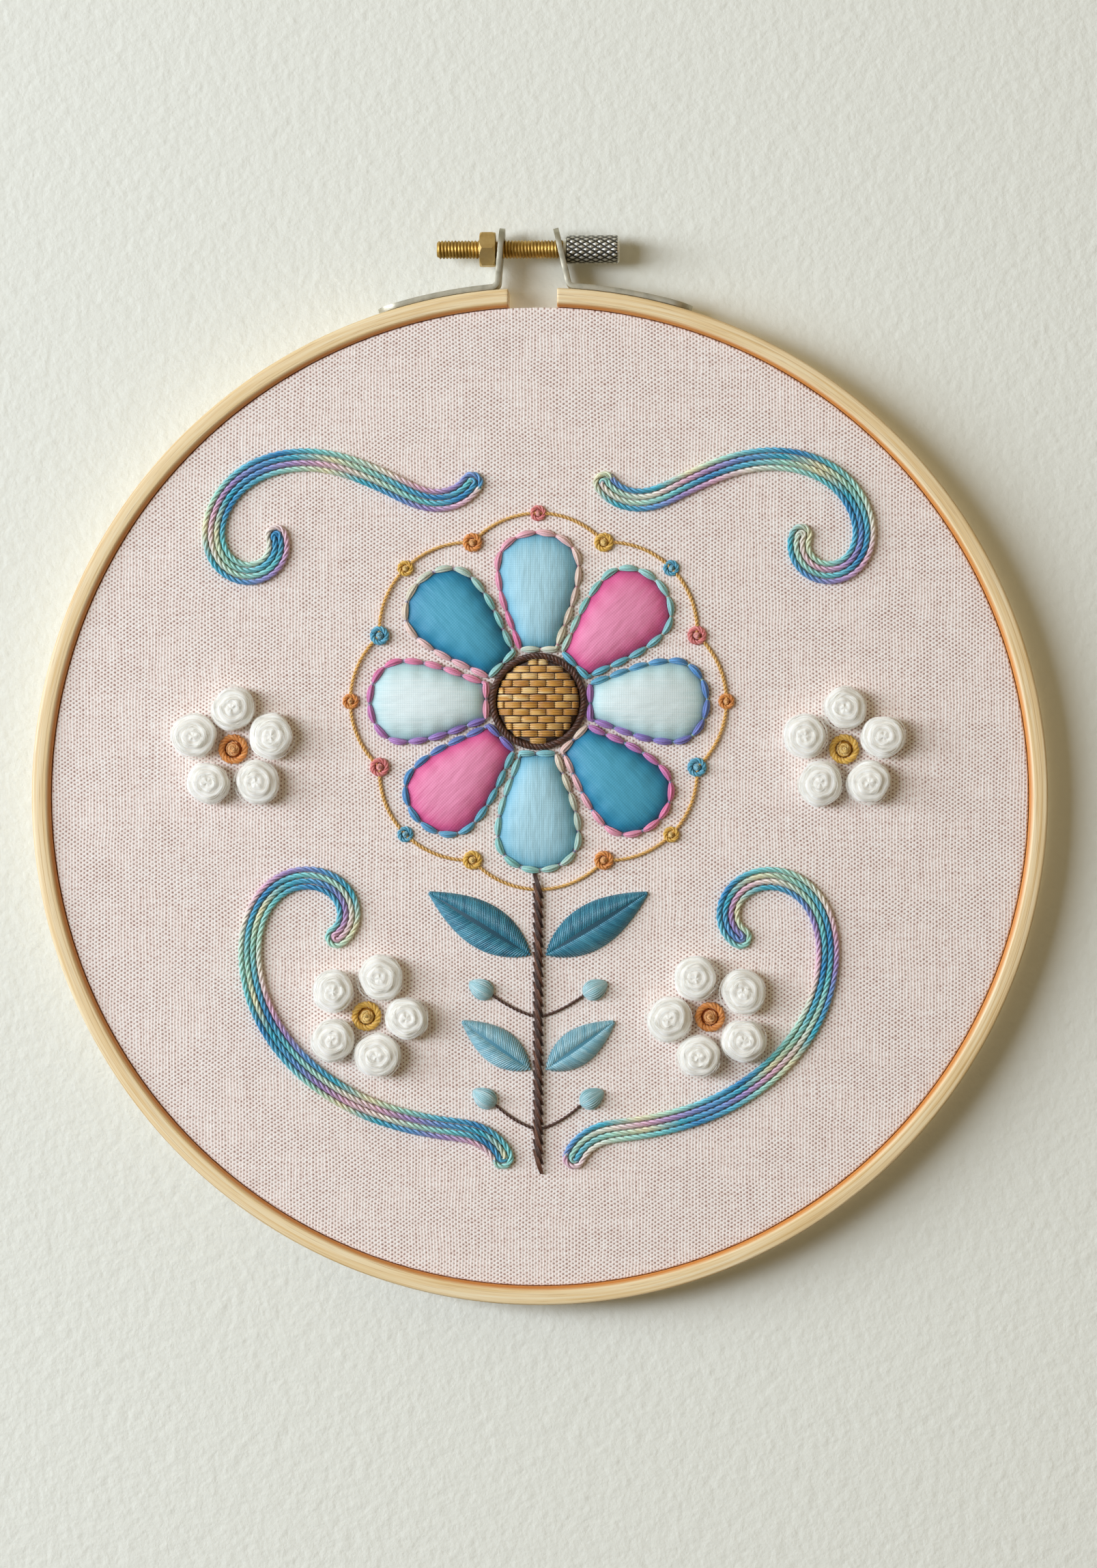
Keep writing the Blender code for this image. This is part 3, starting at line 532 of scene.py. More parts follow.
def plain_weave(name, thread, lit, hole_shade):
    """Matt cotton in an open even weave: knots where threads cross, painted paler as a highlight, and
    between them a small opening painted dark as the shade seen through it, each row of holes set half a
    pitch along from the last. In patches the rows close up and read as plain ribs."""
    finish, tree = new_finish(name, Roughness=0.85, Sheen_Weight=0.4, Sheen_Roughness=0.5)
    place = add(tree, "TexCoord").outputs["Object"]
    patches = add(tree, "TexNoise", {"Scale": 1 / PATCH_SIZE, "Detail": 1.0, "Vector": place})
    waver = add(tree, "TexNoise", {"Scale": 60.0, "Detail": 5.0, "Roughness": 0.58, "Vector": place})
    drift = add(tree, "VectorMath.MULTIPLY_ADD", {0: waver.outputs["Color"], 1: (WAVER, 0, WAVER), 2: place})
    parts = add(tree, "SeparateXYZ", {0: drift}).outputs
    unrolled = add(tree, "Math.SUBTRACT", {0: parts[2], 1: parts[1]})
    waves = []
    for along, repeat in ((parts[0], 2 * ROW_SPACING), (unrolled, HOLE_PITCH)):
        angle = add(tree, "Math.MULTIPLY", {0: along, 1: math.tau / repeat})
        waves.append(add(tree, "Math.SINE", {0: angle}))
    crossing = add(tree, "Math.MULTIPLY", {0: waves[0], 1: waves[1]})
    open_share = add(tree, "MapRange", {0: patches, 1: 0.36, 2: 0.60, 3: -0.18, 4: -0.38})
    knots = add(tree, "Math.MULTIPLY_ADD", {0: crossing, 1: open_share, 2: 0.52})
    rib = add(tree, "Math.ABSOLUTE", {0: waves[0]})
    column = add(tree, "Math.SUBTRACT", {0: rib, 1: 2 / math.pi})
    row_share = add(tree, "MapRange", {0: patches, 1: 0.36, 2: 0.60, 3: -0.42, 4: -0.26})
    height = level = add(tree, "Math.MULTIPLY_ADD", {0: column, 1: row_share, 2: knots})
    for across, up, share in ((ROW_SPACING, SLUB_LENGTH, 0.42), (SLUB_LENGTH, HOLE_PITCH, 0.30),
                              (ROW_SPACING * 2, HOLE_PITCH, 0.50)):
        slub = drawn_noise(tree, place, (1 / across, 1, 1 / up), 2.0, 0.6)
        thicker = add(tree, "Math.MULTIPLY_ADD", {0: slub, 1: share, 2: -share / 2})
        level = add(tree, "Math.ADD", {0: level, 1: thicker})
    # Painted light: the lowest places take the painted shade of the holes, the highest a painted highlight on
    # the knots
    colour = add(tree, "ValToRGB", {"stops": ((0.14, hole_shade), (0.86, lit), (0.44, thread)), 0: level})
    dress(tree, colour, height, 0.9, HOLE_DEPTH)
    return finish


flat_reach = CLOTH_RADIUS - CLOTH_CORNER
flat_steps = round(flat_reach / CLOTH_RING_STEP)
line = [(0.5 * MM, CLOTH_FRONT)]
line += [(flat_reach * i / flat_steps, CLOTH_FRONT) for i in range(1, flat_steps + 1)]
for i in range(1, CLOTH_CORNER_STEPS + 1):
    swing = math.pi / 2 * i / CLOTH_CORNER_STEPS
    line.append((flat_reach + CLOTH_CORNER * math.sin(swing),
                 CLOTH_FRONT - CLOTH_CORNER * (1 - math.cos(swing))))
line.append((CLOTH_RADIUS, CLOTH_TRIM))
sheet = spun([(radius, -depth, 0) for radius, depth in line], RING_STEPS // 2)
middle = [edge for edge in sheet.edges if edge.is_boundary and edge.verts[0].co.length < 2 * CLOTH_FRONT]
bmesh.ops.holes_fill(sheet, edges=middle, sides=0)
for vert in sheet.verts:
    reach = math.hypot(vert.co.x, vert.co.z)
    if reach < flat_reach:
        ripple = (math.sin(vert.co.x * 61) * math.cos(vert.co.z * 47 + 1)
                  + math.sin(vert.co.z * 83 + vert.co.x * 29))
        vert.co.y += CLOTH_UNEVEN * ripple * (1 - (reach / flat_reach) ** 4)
# Thread colour, painted highlight on the knots, and painted shade in the holes
blush_cotton = plain_weave("blush_even_weave_cotton", "F8E6DC", "FFFBF5", "AA877B")
cloth = finish_piece("ground_cloth_cotton", welded_mesh(sheet), blush_cotton, "ground_cloth")
modify(cloth, "SOLIDIFY", thickness=CLOTH_THICKNESS, offset=-1)

# Petals of the large flower
# Each is a felt pad under fine sateen, sewn down all round. It is fullest in the middle and drawn in a
# little at every stitch. Its colour is painted paler on the crown as a highlight and darker at the seams as
# shade.
FLOWER = (0.0, 20.0 * MM)
PETAL_COUNT = 8
PETAL_START = 11.2 * MM
PETAL_END = 35.0 * MM
PETAL_BASE_HALF = 3.5 * MM
PETAL_WIDE_HALF = 8.2 * MM
PETAL_WIDEST = 0.72
PETAL_SWELL = 1.2
PETAL_TIP = 0.1
PETAL_EDGE = 0.7 * MM
PETAL_CROWN = 2.8 * MM
PETAL_FULLEST = 0.8
PETAL_GRID = (52, 34)
PAD_ROUNDNESS = 2.6
STITCH_LENGTH = 4.4 * MM
STITCH_PULL = 0.24
CREASE_LENGTH = 7 * MM
CREASE_WIDTH = 2.2 * MM
# Sateen threads lie 0.3 mm apart, too fine for the render, so they are drawn coarser
SATEEN_PITCH = 0.46 * MM
SATEEN_RUN = 9 * MM
SATEEN_STREAK = 0.5 * MM
UPRIGHT = Matrix.Rotation(math.pi / 2, 4, "X")
# Name, base colour, painted highlight of the crown, and painted shade of the seams and of the gaps between
# threads
PETAL_FINISHES = (
    ("light_blue_satin", "86C3D8", "B4E0EC", "4A90AD"), ("pink_satin", "E5659A", "F597BC", "B83E78"),
    ("pale_aqua_satin", "C3E3E4", "E9F7F6", "86B4BC"), ("teal_satin", "2388AD", "4FACC9", "15597C"),
)


def puff(share):
    """Height of a sewn-down pad, as a share of its middle's, at a share of the way out to its edge."""
    return np.sqrt(np.maximum(0, 1 - np.abs(share) ** PAD_ROUNDNESS))


def swell(share, forward, flatness):
    """A rise from nothing to one and back, at a share of the way along."""
    return np.sin(np.pi * np.clip(share, 0, 1) ** forward) ** flatness


def petal_heading(number):
    return math.pi / 2 - math.tau * number / PETAL_COUNT


def beyond(middle, reach, heading):
    """The place at a distance and a heading from another one."""
    return middle[0] + reach * np.cos(heading), middle[1] + reach * np.sin(heading)


def petal_half_width(share):
    """Half width at a share of a petal's length: it swells to its widest place, then rounds off."""
    fullness = math.sin(math.pi / 2 * min(1, share / PETAL_WIDEST)) ** PETAL_SWELL
    past = max(0, (share - PETAL_WIDEST) / (1 - PETAL_WIDEST))
    tip = max(PETAL_TIP, math.sqrt(max(0, 1 - past * past)))
    return (PETAL_BASE_HALF + (PETAL_WIDE_HALF - PETAL_BASE_HALF) * fullness) * tip


def petal_crown(share):
    return PETAL_EDGE + (PETAL_CROWN - PETAL_EDGE) * swell(share, PETAL_FULLEST, 0.6)


def pad_mesh(length, half_width, crown, rows, columns, pull):
    """A sewn-down pad along +X on the cloth, closed below, with its place and its seam's nearness kept."""
    bm = bmesh.new()
    bmesh.ops.create_grid(bm, x_segments=rows, y_segments=columns, size=1)
    lie = bm.verts.layers.float_vector.new("lie")
    middle = bm.verts.layers.float.new("middle")
    for vert in bm.verts:
        share = (1 - math.cos(math.pi / 2 * (vert.co.x + 1))) / 2
        side = math.sin(math.pi / 2 * vert.co.y)
        from_middle = abs(2 * share - 1)
        ends = puff(from_middle) ** 0.5 * math.sqrt(max(0, 1 - from_middle ** 14))
        drawn = 1 - pull * abs(side) ** 3 * math.cos(math.pi * share * length / STITCH_LENGTH) ** 2
        rise = crown(share) * puff(side) * math.sqrt(max(0, 1 - from_middle ** 16)) * drawn
        vert[lie] = (share * length, side * half_width(share), 0)
        vert[middle] = puff(side) * ends
        vert.co = (share * length, side * half_width(share), rise)
    close_holes(bm)
    bmesh.ops.recalc_face_normals(bm, faces=bm.faces)
    # The ends are so thin that the recalculation can turn the whole pad inside out
    if bm.calc_volume(signed=True) < 0:
        bmesh.ops.reverse_faces(bm, faces=bm.faces)
    return plain_mesh(bm)


def laid_on_cloth(mesh, place, heading=0.0, out=CLOTH_FRONT):
    """Turns a mesh that was made flat and puts it on the front of the cloth."""
    mesh.transform(UPRIGHT @ Matrix.Translation((*place, out)) @ Matrix.Rotation(heading, 4, "Z"))
    return mesh


def padded_sateen(name, base, lit, seam):
    """Fine sateen with a silky sheen: a close weave along the pad, painted paler on the crown as a highlight
    and darker near the seams and between its threads as shade.
    """
    finish, tree = new_finish(name, Roughness=0.52, Sheen_Weight=0.45, Sheen_Roughness=0.35)
    lie = add(tree, "Attribute", {"attribute_name": "lie"}).outputs["Vector"]
    middle = add(tree, "Attribute", {"attribute_name": "middle"}).outputs["Fac"]
    waves = []
    for part in add(tree, "SeparateXYZ", {0: lie}).outputs[:2]:
        angle = add(tree, "Math.MULTIPLY", {0: part, 1: math.pi / SATEEN_PITCH})
        waves.append(add(tree, "Math.ABSOLUTE", {0: add(tree, "Math.SINE", {0: angle})}))
    both = add(tree, "Math.MULTIPLY", {0: waves[0], 1: waves[1]})
    height = add(tree, "Math.POWER", {0: both, 1: 0.5})
    thread = drawn_noise(tree, lie, (1 / SATEEN_RUN, 1 / SATEEN_STREAK, 1), 3.0)
    uneven = add(tree, "Math.MULTIPLY_ADD", {0: thread, 1: 0.30, 2: -0.15})
    lifted = add(tree, "Math.ADD", {0: middle, 1: uneven})
    # Painted light: paler towards the pad's crown and darker towards its seams; the gaps between threads take
    # the seam's painted shade too
    shade = add(tree, "ValToRGB", {"stops": ((0.10, seam), (0.98, lit), (0.62, base)), 0: lifted})
    gap = add(tree, "MapRange", {0: height, 1: 0.10, 2: 0.60, 3: 0.22, 4: 0.0})
    colour = add(tree, "Mix", {"data_type": "RGBA", 0: gap, 6: shade, 7: seam})
    weave = add(tree, "Bump", {"Strength": 0.35, "Distance": 0.08 * MM, "Height": height})
    creases = drawn_noise(tree, lie, (1 / CREASE_LENGTH, 1 / CREASE_WIDTH, 1), 2.0)
    relief = add(tree, "Bump", {"Strength": 0.8, "Distance": 0.35 * MM, "Height": creases, "Normal": weave})
    set_shader(tree, Base_Color=colour, Normal=relief)
    return finish


sateens = {name: padded_sateen(name + "_sateen", *colours) for name, *colours in PETAL_FINISHES}
petal_length = PETAL_END - PETAL_START
for number in range(PETAL_COUNT):
    heading = petal_heading(number)
    pad = pad_mesh(petal_length, petal_half_width, petal_crown, *PETAL_GRID, STITCH_PULL)
    laid_on_cloth(pad, beyond(FLOWER, PETAL_START, heading), heading)
    name = f"petal_{number + 1}"
    slot = PETAL_FINISHES[number % len(PETAL_FINISHES)][0]
    petal = finish_piece(name + "_sateen", pad, sateens[slot], name)

# Chain stitches round the petals
# A row of soft twisted cotton chain stitches covers each petal's seam. Every loop is a pointed
# lozenge, and the thread changes colour slowly as it is drawn off the skein.
CHAIN_THREAD = 0.62 * MM
CHAIN_SPREAD = 0.44 * MM
CHAIN_OFFSET = 0.30 * MM
CHAIN_OVERLAP = 0.30 * MM
OUTLINE_STEP = 0.3 * MM
DYE_PERIOD = 170 * MM
DYE_SHIFT = 0.37 * DYE_PERIOD
FIBRE_DRAW = 3.0 * MM
SKEIN = (
    (0.00, "A9E0DC"), (1.00, "A9E0DC"), (0.12, "6EC3D6"), (0.25, "4F97D2"), (0.36, "8077C6"),
    (0.47, "BD84CC"), (0.57, "F283B2"), (0.68, "F9B6C6"), (0.80, "F3EAD0"), (0.91, "8FD6CF"),
)
dice = random.Random(7)


def points(*columns):
    """A line's points, from numbers or rows of numbers: across, up, out and, if it varies, fullness."""
    return np.stack(np.broadcast_arrays(*columns), axis=1)


def with_length(line):
    """A line's points as an array, and how far along it each of them lies."""
    line = np.asarray(line, dtype=float)
    steps = np.linalg.norm(np.diff(line[:, :3], axis=0), axis=1)
    return line, np.concatenate([[0], np.cumsum(steps)])


def taken_at(line, along, wanted):
    """A line's points at the wanted distances along it."""
    return points(*[np.interp(wanted, along, column) for column in line.T])


def spaced(line, step):
    """A line's points taken again at even steps."""
    line, along = with_length(line)
    return taken_at(line, along, np.linspace(0, along[-1], max(2, round(along[-1] / step)) + 1))


def threads_mesh(lines, thickness, dyes, sides=6):
    """Round threads along lines of points, with a dye value for each line or each of its points."""
    curve = bpy.data.curves.new("threads", "CURVE")
    curve.dimensions = "3D"
    curve.bevel_depth = thickness / 2
    curve.bevel_resolution = (sides - 4) // 2
    curve.use_fill_caps = True
    spokes = np.arange(sides) * math.tau / sides
    values, windings = [], []
    for line, dye in zip(lines, dyes):
        line, along = with_length(line)
        spline = curve.splines.new("POLY")
        spline.points.add(len(line) - 1)
        spline.points.foreach_set("co", np.insert(line[:, :3], 3, 1, axis=1).ravel())
        if line.shape[1] > 3:
            spline.points.foreach_set("radius", line[:, 3].copy())
        order = np.concatenate([[len(line) - 1, 0], np.arange(len(line))])
        values.append(np.repeat(np.broadcast_to(np.asarray(dye, dtype=float), (len(line),))[order], sides))
        windings.append(points(np.tile(np.cos(spokes), len(order)), np.tile(np.sin(spokes), len(order)),
                               np.repeat(along[order] + dice.random(), sides)))
    mesh = applied(loose(curve))
    mesh.attributes.new("dye", "FLOAT", "POINT").data.foreach_set("value", np.concatenate(values))
    winding = mesh.attributes.new("winding", "FLOAT_VECTOR", "POINT")
    winding.data.foreach_set("vector", np.concatenate(windings).ravel())
    # A curve's caps are loose, so they are merged with its tubes
    bm = bmesh.new()
    bm.from_mesh(mesh)
    bmesh.ops.remove_doubles(bm, verts=bm.verts, dist=MERGE / 20)
    bm.to_mesh(mesh)
    bm.free()
    mesh.transform(UPRIGHT)
    return mesh


def thread_piece(name, lines, thickness, dyes, finish, node=None):
    return finish_piece(name, threads_mesh(lines, thickness, dyes), finish, node, crease=85)


def dyed_cotton(name, skein, period=1.0, roughness=0.55):
    """Mercerised cotton: silky, with fine fibres along it and a colour that changes slowly as dyed."""
    finish, tree = new_finish(name, Roughness=roughness, Sheen_Weight=0.4, Sheen_Roughness=0.35,
                              Specular_IOR_Level=0.7)
    winding = add(tree, "Attribute", {"attribute_name": "winding"}).outputs["Vector"]
    fibres = drawn_noise(tree, winding, (2.4, 2.4, 1 / FIBRE_DRAW), 3.0)
    dye = add(tree, "Attribute", {"attribute_name": "dye"}).outputs["Fac"]
    length = add(tree, "Math.MULTIPLY", {0: dye, 1: 1 / period})
    shifted = add(tree, "Math.MULTIPLY_ADD", {0: fibres, 1: 0.04, 2: length})
    colour = add(tree, "ValToRGB", {"stops": skein, 0: add(tree, "Math.FRACT", {0: shifted})})
    fibre = add(tree, "ValToRGB", {"stops": ((0.42, "FFFFFF"), (0.66, "CFC9C8")), 0: fibres})
    mixed = add(tree, "Mix", {"data_type": "RGBA", "blend_type": "MULTIPLY", 0: 1.0, 6: colour, 7: fibre})
    dress(tree, mixed, fibres, 0.5, 0.05 * MM)
    return finish


def chain_stitches(outline, first_dye):
    """Three threads a stitch along an outline: a pointed lozenge with a fuller middle thread."""
    line, along = with_length(outline)
    count = max(3, round(along[-1] / STITCH_LENGTH))
    share = np.linspace(0, 1, 9)
    bow = swell(share, 1, 0.8)
    lines, dyes = [], []
    for number in range(count):
        begin = along[-1] * number / count - CHAIN_OVERLAP / 2
        finish = along[-1] * (number + 1) / count + CHAIN_OVERLAP / 2
        uneven = 1 + 0.12 * (dice.random() - 0.5)
        where = (begin + (finish - begin) * share) % along[-1]
        spot = taken_at(line, along, where)
        ahead = taken_at(line, along, (where + 0.2 * MM) % along[-1]) - spot
        ahead /= np.maximum(np.linalg.norm(ahead, axis=1), 1e-9)[:, None]
        for side in (-1, 0, 1):
            spread = side * CHAIN_SPREAD * bow * uneven
            rise = (0.40 + (0.45 if side else 0.85) * bow) * MM
            lines.append(points(spot[:, 0] - ahead[:, 1] * spread, spot[:, 1] + ahead[:, 0] * spread,
                                spot[:, 2] + rise, 0.45 + 0.55 * bow))
            dyes.append(first_dye + begin + 0.8 * MM * side)
    return lines, dyes


def petal_outline(number):
    """Closed line along a petal's seam, a little outside its edge."""
    shares = [(1 - math.cos(math.pi * i / 60)) / 2 for i in range(61)]
    right = [(PETAL_START + petal_length * share + CHAIN_OFFSET * (2 * share - 1),
              petal_half_width(share) + CHAIN_OFFSET) for share in shares]
    tip = [(PETAL_END + 1.5 * CHAIN_OFFSET, 0)]
    flat = right + tip + [(along, -half) for along, half in reversed(right)] + right[:1]
    turn = Matrix.Rotation(petal_heading(number), 2)
    spots = [turn @ Vector(spot) for spot in flat]
    return spaced([(spot.x, FLOWER[1] + spot.y, CLOTH_FRONT) for spot in spots], OUTLINE_STEP)


lines, dyes = [], []
for number in range(PETAL_COUNT):
    more, dyed = chain_stitches(petal_outline(number), number * DYE_SHIFT)
    lines += more
    dyes += dyed
chain_cotton = dyed_cotton("variegated_soft_cotton", SKEIN, DYE_PERIOD)
thread_piece("petal_chain_stitches", lines, CHAIN_THREAD, dyes, chain_cotton)

# Flower centre
# Short satin bricks of three golden threads each, sewn in offset rows over a round felt pad, with the
# dark felt showing between them.
CENTRE_RADIUS = 8.5 * MM
FELT_HEIGHT = 2.85 * MM
FELT_RIM = 1.0 * MM
FELT_STEPS = 48
BRICK_LENGTH = 3.5 * MM
BRICK_PITCH = 1.5 * MM
BRICK_THREAD = 0.50 * MM
BRICK_GAP = 0.12 * MM
SHORTEST_BRICK = 0.7 * MM
GOLDEN = ((0.00, "9A6020"), (1.00, "FFF2CE"), (0.30, "C98A34"), (0.55, "E8AE50"), (0.80, "F8D48A"))


def matted_felt(name, dark, lit):
    """Thick wool felt, matted and dull."""
    finish, tree = new_finish(name, Roughness=0.95, Sheen_Weight=0.3)
    place = add(tree, "TexCoord").outputs["Object"]
    matted = add(tree, "TexNoise", {"Scale": 1800.0, "Detail": 4.0, "Vector": place})
    shade = add(tree, "ValToRGB", {"stops": ((0.35, dark), (0.65, lit)), 0: matted})
    dress(tree, shade, matted, 0.8, 0.1 * MM)
    return finish


outline = [(CENTRE_RADIUS * share, 0, FELT_HEIGHT * puff(share))
           for share in [math.sin(math.pi / 2 * i / 12) for i in range(13)]]
outline += [(CENTRE_RADIUS + FELT_RIM, 0, height) for height in (0.2 * MM, 0.05 * MM)]
felt = spun(outline, FELT_STEPS, (0, 0, 1))
close_holes(felt)
felt = laid_on_cloth(welded_mesh(felt), FLOWER)
dark_felt = matted_felt("dark_wool_felt", "2E1A0C", "5A371B")
pad = finish_piece("flower_centre_felt", felt, dark_felt, "flower_centre")

lines, dyes = [], []
share = np.linspace(0, 1, 7)
bow = swell(share, 1, 0.6)
rows = round(2 * CENTRE_RADIUS / BRICK_PITCH)
bricks = round(2 * CENTRE_RADIUS / BRICK_LENGTH) + 1
for row in range(rows + 1):
    middle_up = (row - rows / 2) * BRICK_PITCH
    reach = math.sqrt(max(0, CENTRE_RADIUS ** 2 - middle_up ** 2))
    for column in range(-bricks, bricks + 1):
        begin = (column + 0.5 * (row % 2)) * BRICK_LENGTH - BRICK_LENGTH / 2
        left = max(begin + BRICK_GAP, -reach)
        right = min(begin + BRICK_LENGTH - BRICK_GAP, reach)
        if right - left < SHORTEST_BRICK:
            continue
        shade = 0.30 + 0.45 * dice.random()
        across = left + (right - left) * share
        for thread in (-1, 0, 1):
            up = middle_up + thread * BRICK_THREAD * 0.82
            out = FELT_HEIGHT * puff(np.hypot(across, up) / CENTRE_RADIUS) + (0.05 + 0.38 * bow) * MM
            lines.append(points(across, FLOWER[1] + up, CLOTH_FRONT + out, 0.7 + 0.3 * bow))
            dyes.append(min(0.98, max(0.02, shade + 0.2 * (dice.random() - 0.4))))
golden_cotton = dyed_cotton("golden_stranded_cotton", GOLDEN, roughness=0.38)
thread_piece("flower_centre_bricks", lines, BRICK_THREAD, dyes, golden_cotton)

# Cord round the flower centre
# A dark brown three-ply cord, laid in a ring at the foot of the pad and held by tiny stitches.
RING_CORD_WIDTH = 1.5 * MM
RING_CORD_GAP = 0.3 * MM
RING_CORD_TURNS = 25
BROWN = ((0.00, "2C170D"), (1.00, "8A5A3C"), (0.45, "4C2A19"), (0.75, "6B3F27"))


def twisted(line, plies, width, pitch, height=None, phase=0.0):
    """Lines of the plies that are twisted into a cord of a given width round a middle line."""
    line, along = with_length(line)
    ahead = np.gradient(line, axis=0)
    ahead /= np.linalg.norm(ahead, axis=1)[:, None]
    beside = points(-ahead[:, 1], ahead[:, 0], 0.0)
    beside /= np.maximum(np.linalg.norm(beside, axis=1), 1e-9)[:, None]
    above = np.cross(ahead, beside)
    above *= np.sign(above[:, 2:3] + 1e-9)
    share = math.sin(math.pi / plies)
    ply = width * share / (1 + share)
    taller = (height or width) / width
    out = []
    for i in range(plies):
        turn = (math.tau * (along / pitch + i / plies) + phase)[:, None]
        out.append(line + (width - ply) / 2 * (np.cos(turn) * beside + taller * np.sin(turn) * above))
    return out, ply


ring_radius = CENTRE_RADIUS + RING_CORD_GAP + RING_CORD_WIDTH / 2
around = np.linspace(0, math.tau, 201)
circle = points(*beyond(FLOWER, ring_radius, around), CLOTH_FRONT + RING_CORD_WIDTH / 2)
plies, ply_width = twisted(circle, 3, RING_CORD_WIDTH, math.tau * ring_radius / RING_CORD_TURNS)
brown_cotton = dyed_cotton("dark_brown_cotton", BROWN)
thread_piece("centre_cord_plies", plies, ply_width, [0.35, 0.5, 0.62], brown_cotton,
             "centre_cord")

# Coiled rosettes
# A soft three-ply thread coiled on itself and sewn down: one thick outer turn, and a middle turn
# raised on top of it.
ROSETTE_REACH = 36.0 * MM
INNER_THREAD = 0.55
INNER_TURNS = 2.0
OUTER_PITCH = 2.6 * MM
INNER_PITCH = 2.2 * MM
STEPS_A_TURN = 28
# Radius, height and width of the thread
ROSETTE_SIZE = (2.1 * MM, 2.2 * MM, 1.2 * MM)
BLOSSOM_CENTRE_SIZE = (3.3 * MM, 3.4 * MM, 1.6 * MM)
ROSETTES = (
    ("yellow_thread", "F2C354", "FCE29A", "C48A26"), ("coral_thread", "EC8A86", "F9BDB2", "BC5254"),
    ("sky_thread", "5FB4D2", "A6DCEB", "2A7DA0"), ("orange_thread", "EF9E4C", "FBCB8C", "C26A26"),
)
# Place, turn and the finish of the middle of each white blossom
BLOSSOMS = (
    ((-64 * MM, 10 * MM), 0, "orange_thread"), ((64 * MM, 10 * MM), 0, "yellow_thread"),
    ((-36 * MM, -46 * MM), math.radians(-20), "yellow_thread"),
    ((36 * MM, -46 * MM), math.radians(20), "orange_thread"),
)


def coil(middle, radius, height, thread, turns, start):
    """Line of a thread that is wound inwards and upwards to the middle."""
    share = np.linspace(0, 1, round(STEPS_A_TURN * turns) + 1)
    reach = (radius - thread / 2) * (1 - share) ** 0.75 + MERGE
    rise = thread / 2 + (height - thread) * share ** 1.2
    return points(*beyond(middle, reach, start + math.tau * turns * share), CLOTH_FRONT + rise)


def joined(meshes):
    """One mesh of several, with their dyes."""
    bm = bmesh.new()
    for mesh in meshes:
        bm.from_mesh(mesh)
        bpy.data.meshes.remove(mesh)
    return plain_mesh(bm)


def rosette_mesh(middle, radius, height, thread, start):
    """One thick outer turn lying on the cloth, and a thinner, paler middle coil that stands above it."""
    share = np.linspace(0, 1, STEPS_A_TURN + 1)
    outer = points(*beyond(middle, radius - thread / 2, start + math.tau * share),
                   CLOTH_FRONT + thread * (0.5 + 0.08 * share))
    inner = coil(middle, radius - 0.95 * thread, height, INNER_THREAD * thread, INNER_TURNS, start)
    bm = bmesh.new()
    bmesh.ops.create_cone(bm, cap_ends=True, segments=24, radius1=radius - 0.8 * thread, radius2=radius / 12,
                          depth=0.56 * height)
    under = laid_on_cloth(plain_mesh(bm), middle, out=CLOTH_FRONT + 0.28 * height + 0.05 * MM)
    turns = [threads_mesh(*twisted(line, 3, width, pitch), dyes) for line, width, pitch, dyes in (
        (outer, thread, OUTER_PITCH, (0.34, 0.42, 0.50)),
        (inner, INNER_THREAD * thread, INNER_PITCH, (0.62, 0.74, 0.84)),
    )]
    return joined([*turns, under])


rosette_cottons = {
    name: dyed_cotton(name + "_cotton", ((0.0, dark), (1.0, lit), (0.45, base)))
    for name, base, lit, dark in ROSETTES
}


def rosette_piece(name, middle, size, start, slot, node=None):
    wound = rosette_mesh(middle, *size, start)
    finish_piece(name, wound, rosette_cottons[slot], node, crease=85)


for number in range(PETAL_COUNT):
    heading = petal_heading(number + 0.5)
    name = f"rosette_{number + 1}"
    rosette_piece(name + "_coil", beyond(FLOWER, ROSETTE_REACH, heading), ROSETTE_SIZE, heading,
                  ROSETTES[number % len(ROSETTES)][0], name)
for number, (middle, turn, slot) in enumerate(BLOSSOMS, start=1):
    name = f"blossom_centre_{number}"
    rosette_piece(name + "_coil", middle, BLOSSOM_CENTRE_SIZE, number, slot, name)

# Wool rounds of the blossoms
# White wool roving, hardly spun, wound into a flat bun and caught down in its middle. Its fibres run
# along the winding, and a few stand away from it.
ROUNDS = 5
ROUND_REACH = 8.6 * MM
ROUND_RADIUS = 4.9 * MM
ROUND_HEIGHT = 4.6 * MM
ROUND_LIFT = 0.1 * MM
ROUND_UNEVEN = 0.03
ROUND_TURNS = 2.7
ROUND_FLATNESS = 0.82
LINES_A_TURN = (2, 5)
GROOVE_DEPTH = 0.42 * MM
TUFT_SIZE = 1.6 * MM
STRAY_FIBRE = 0.07 * MM
STRAYS = 60


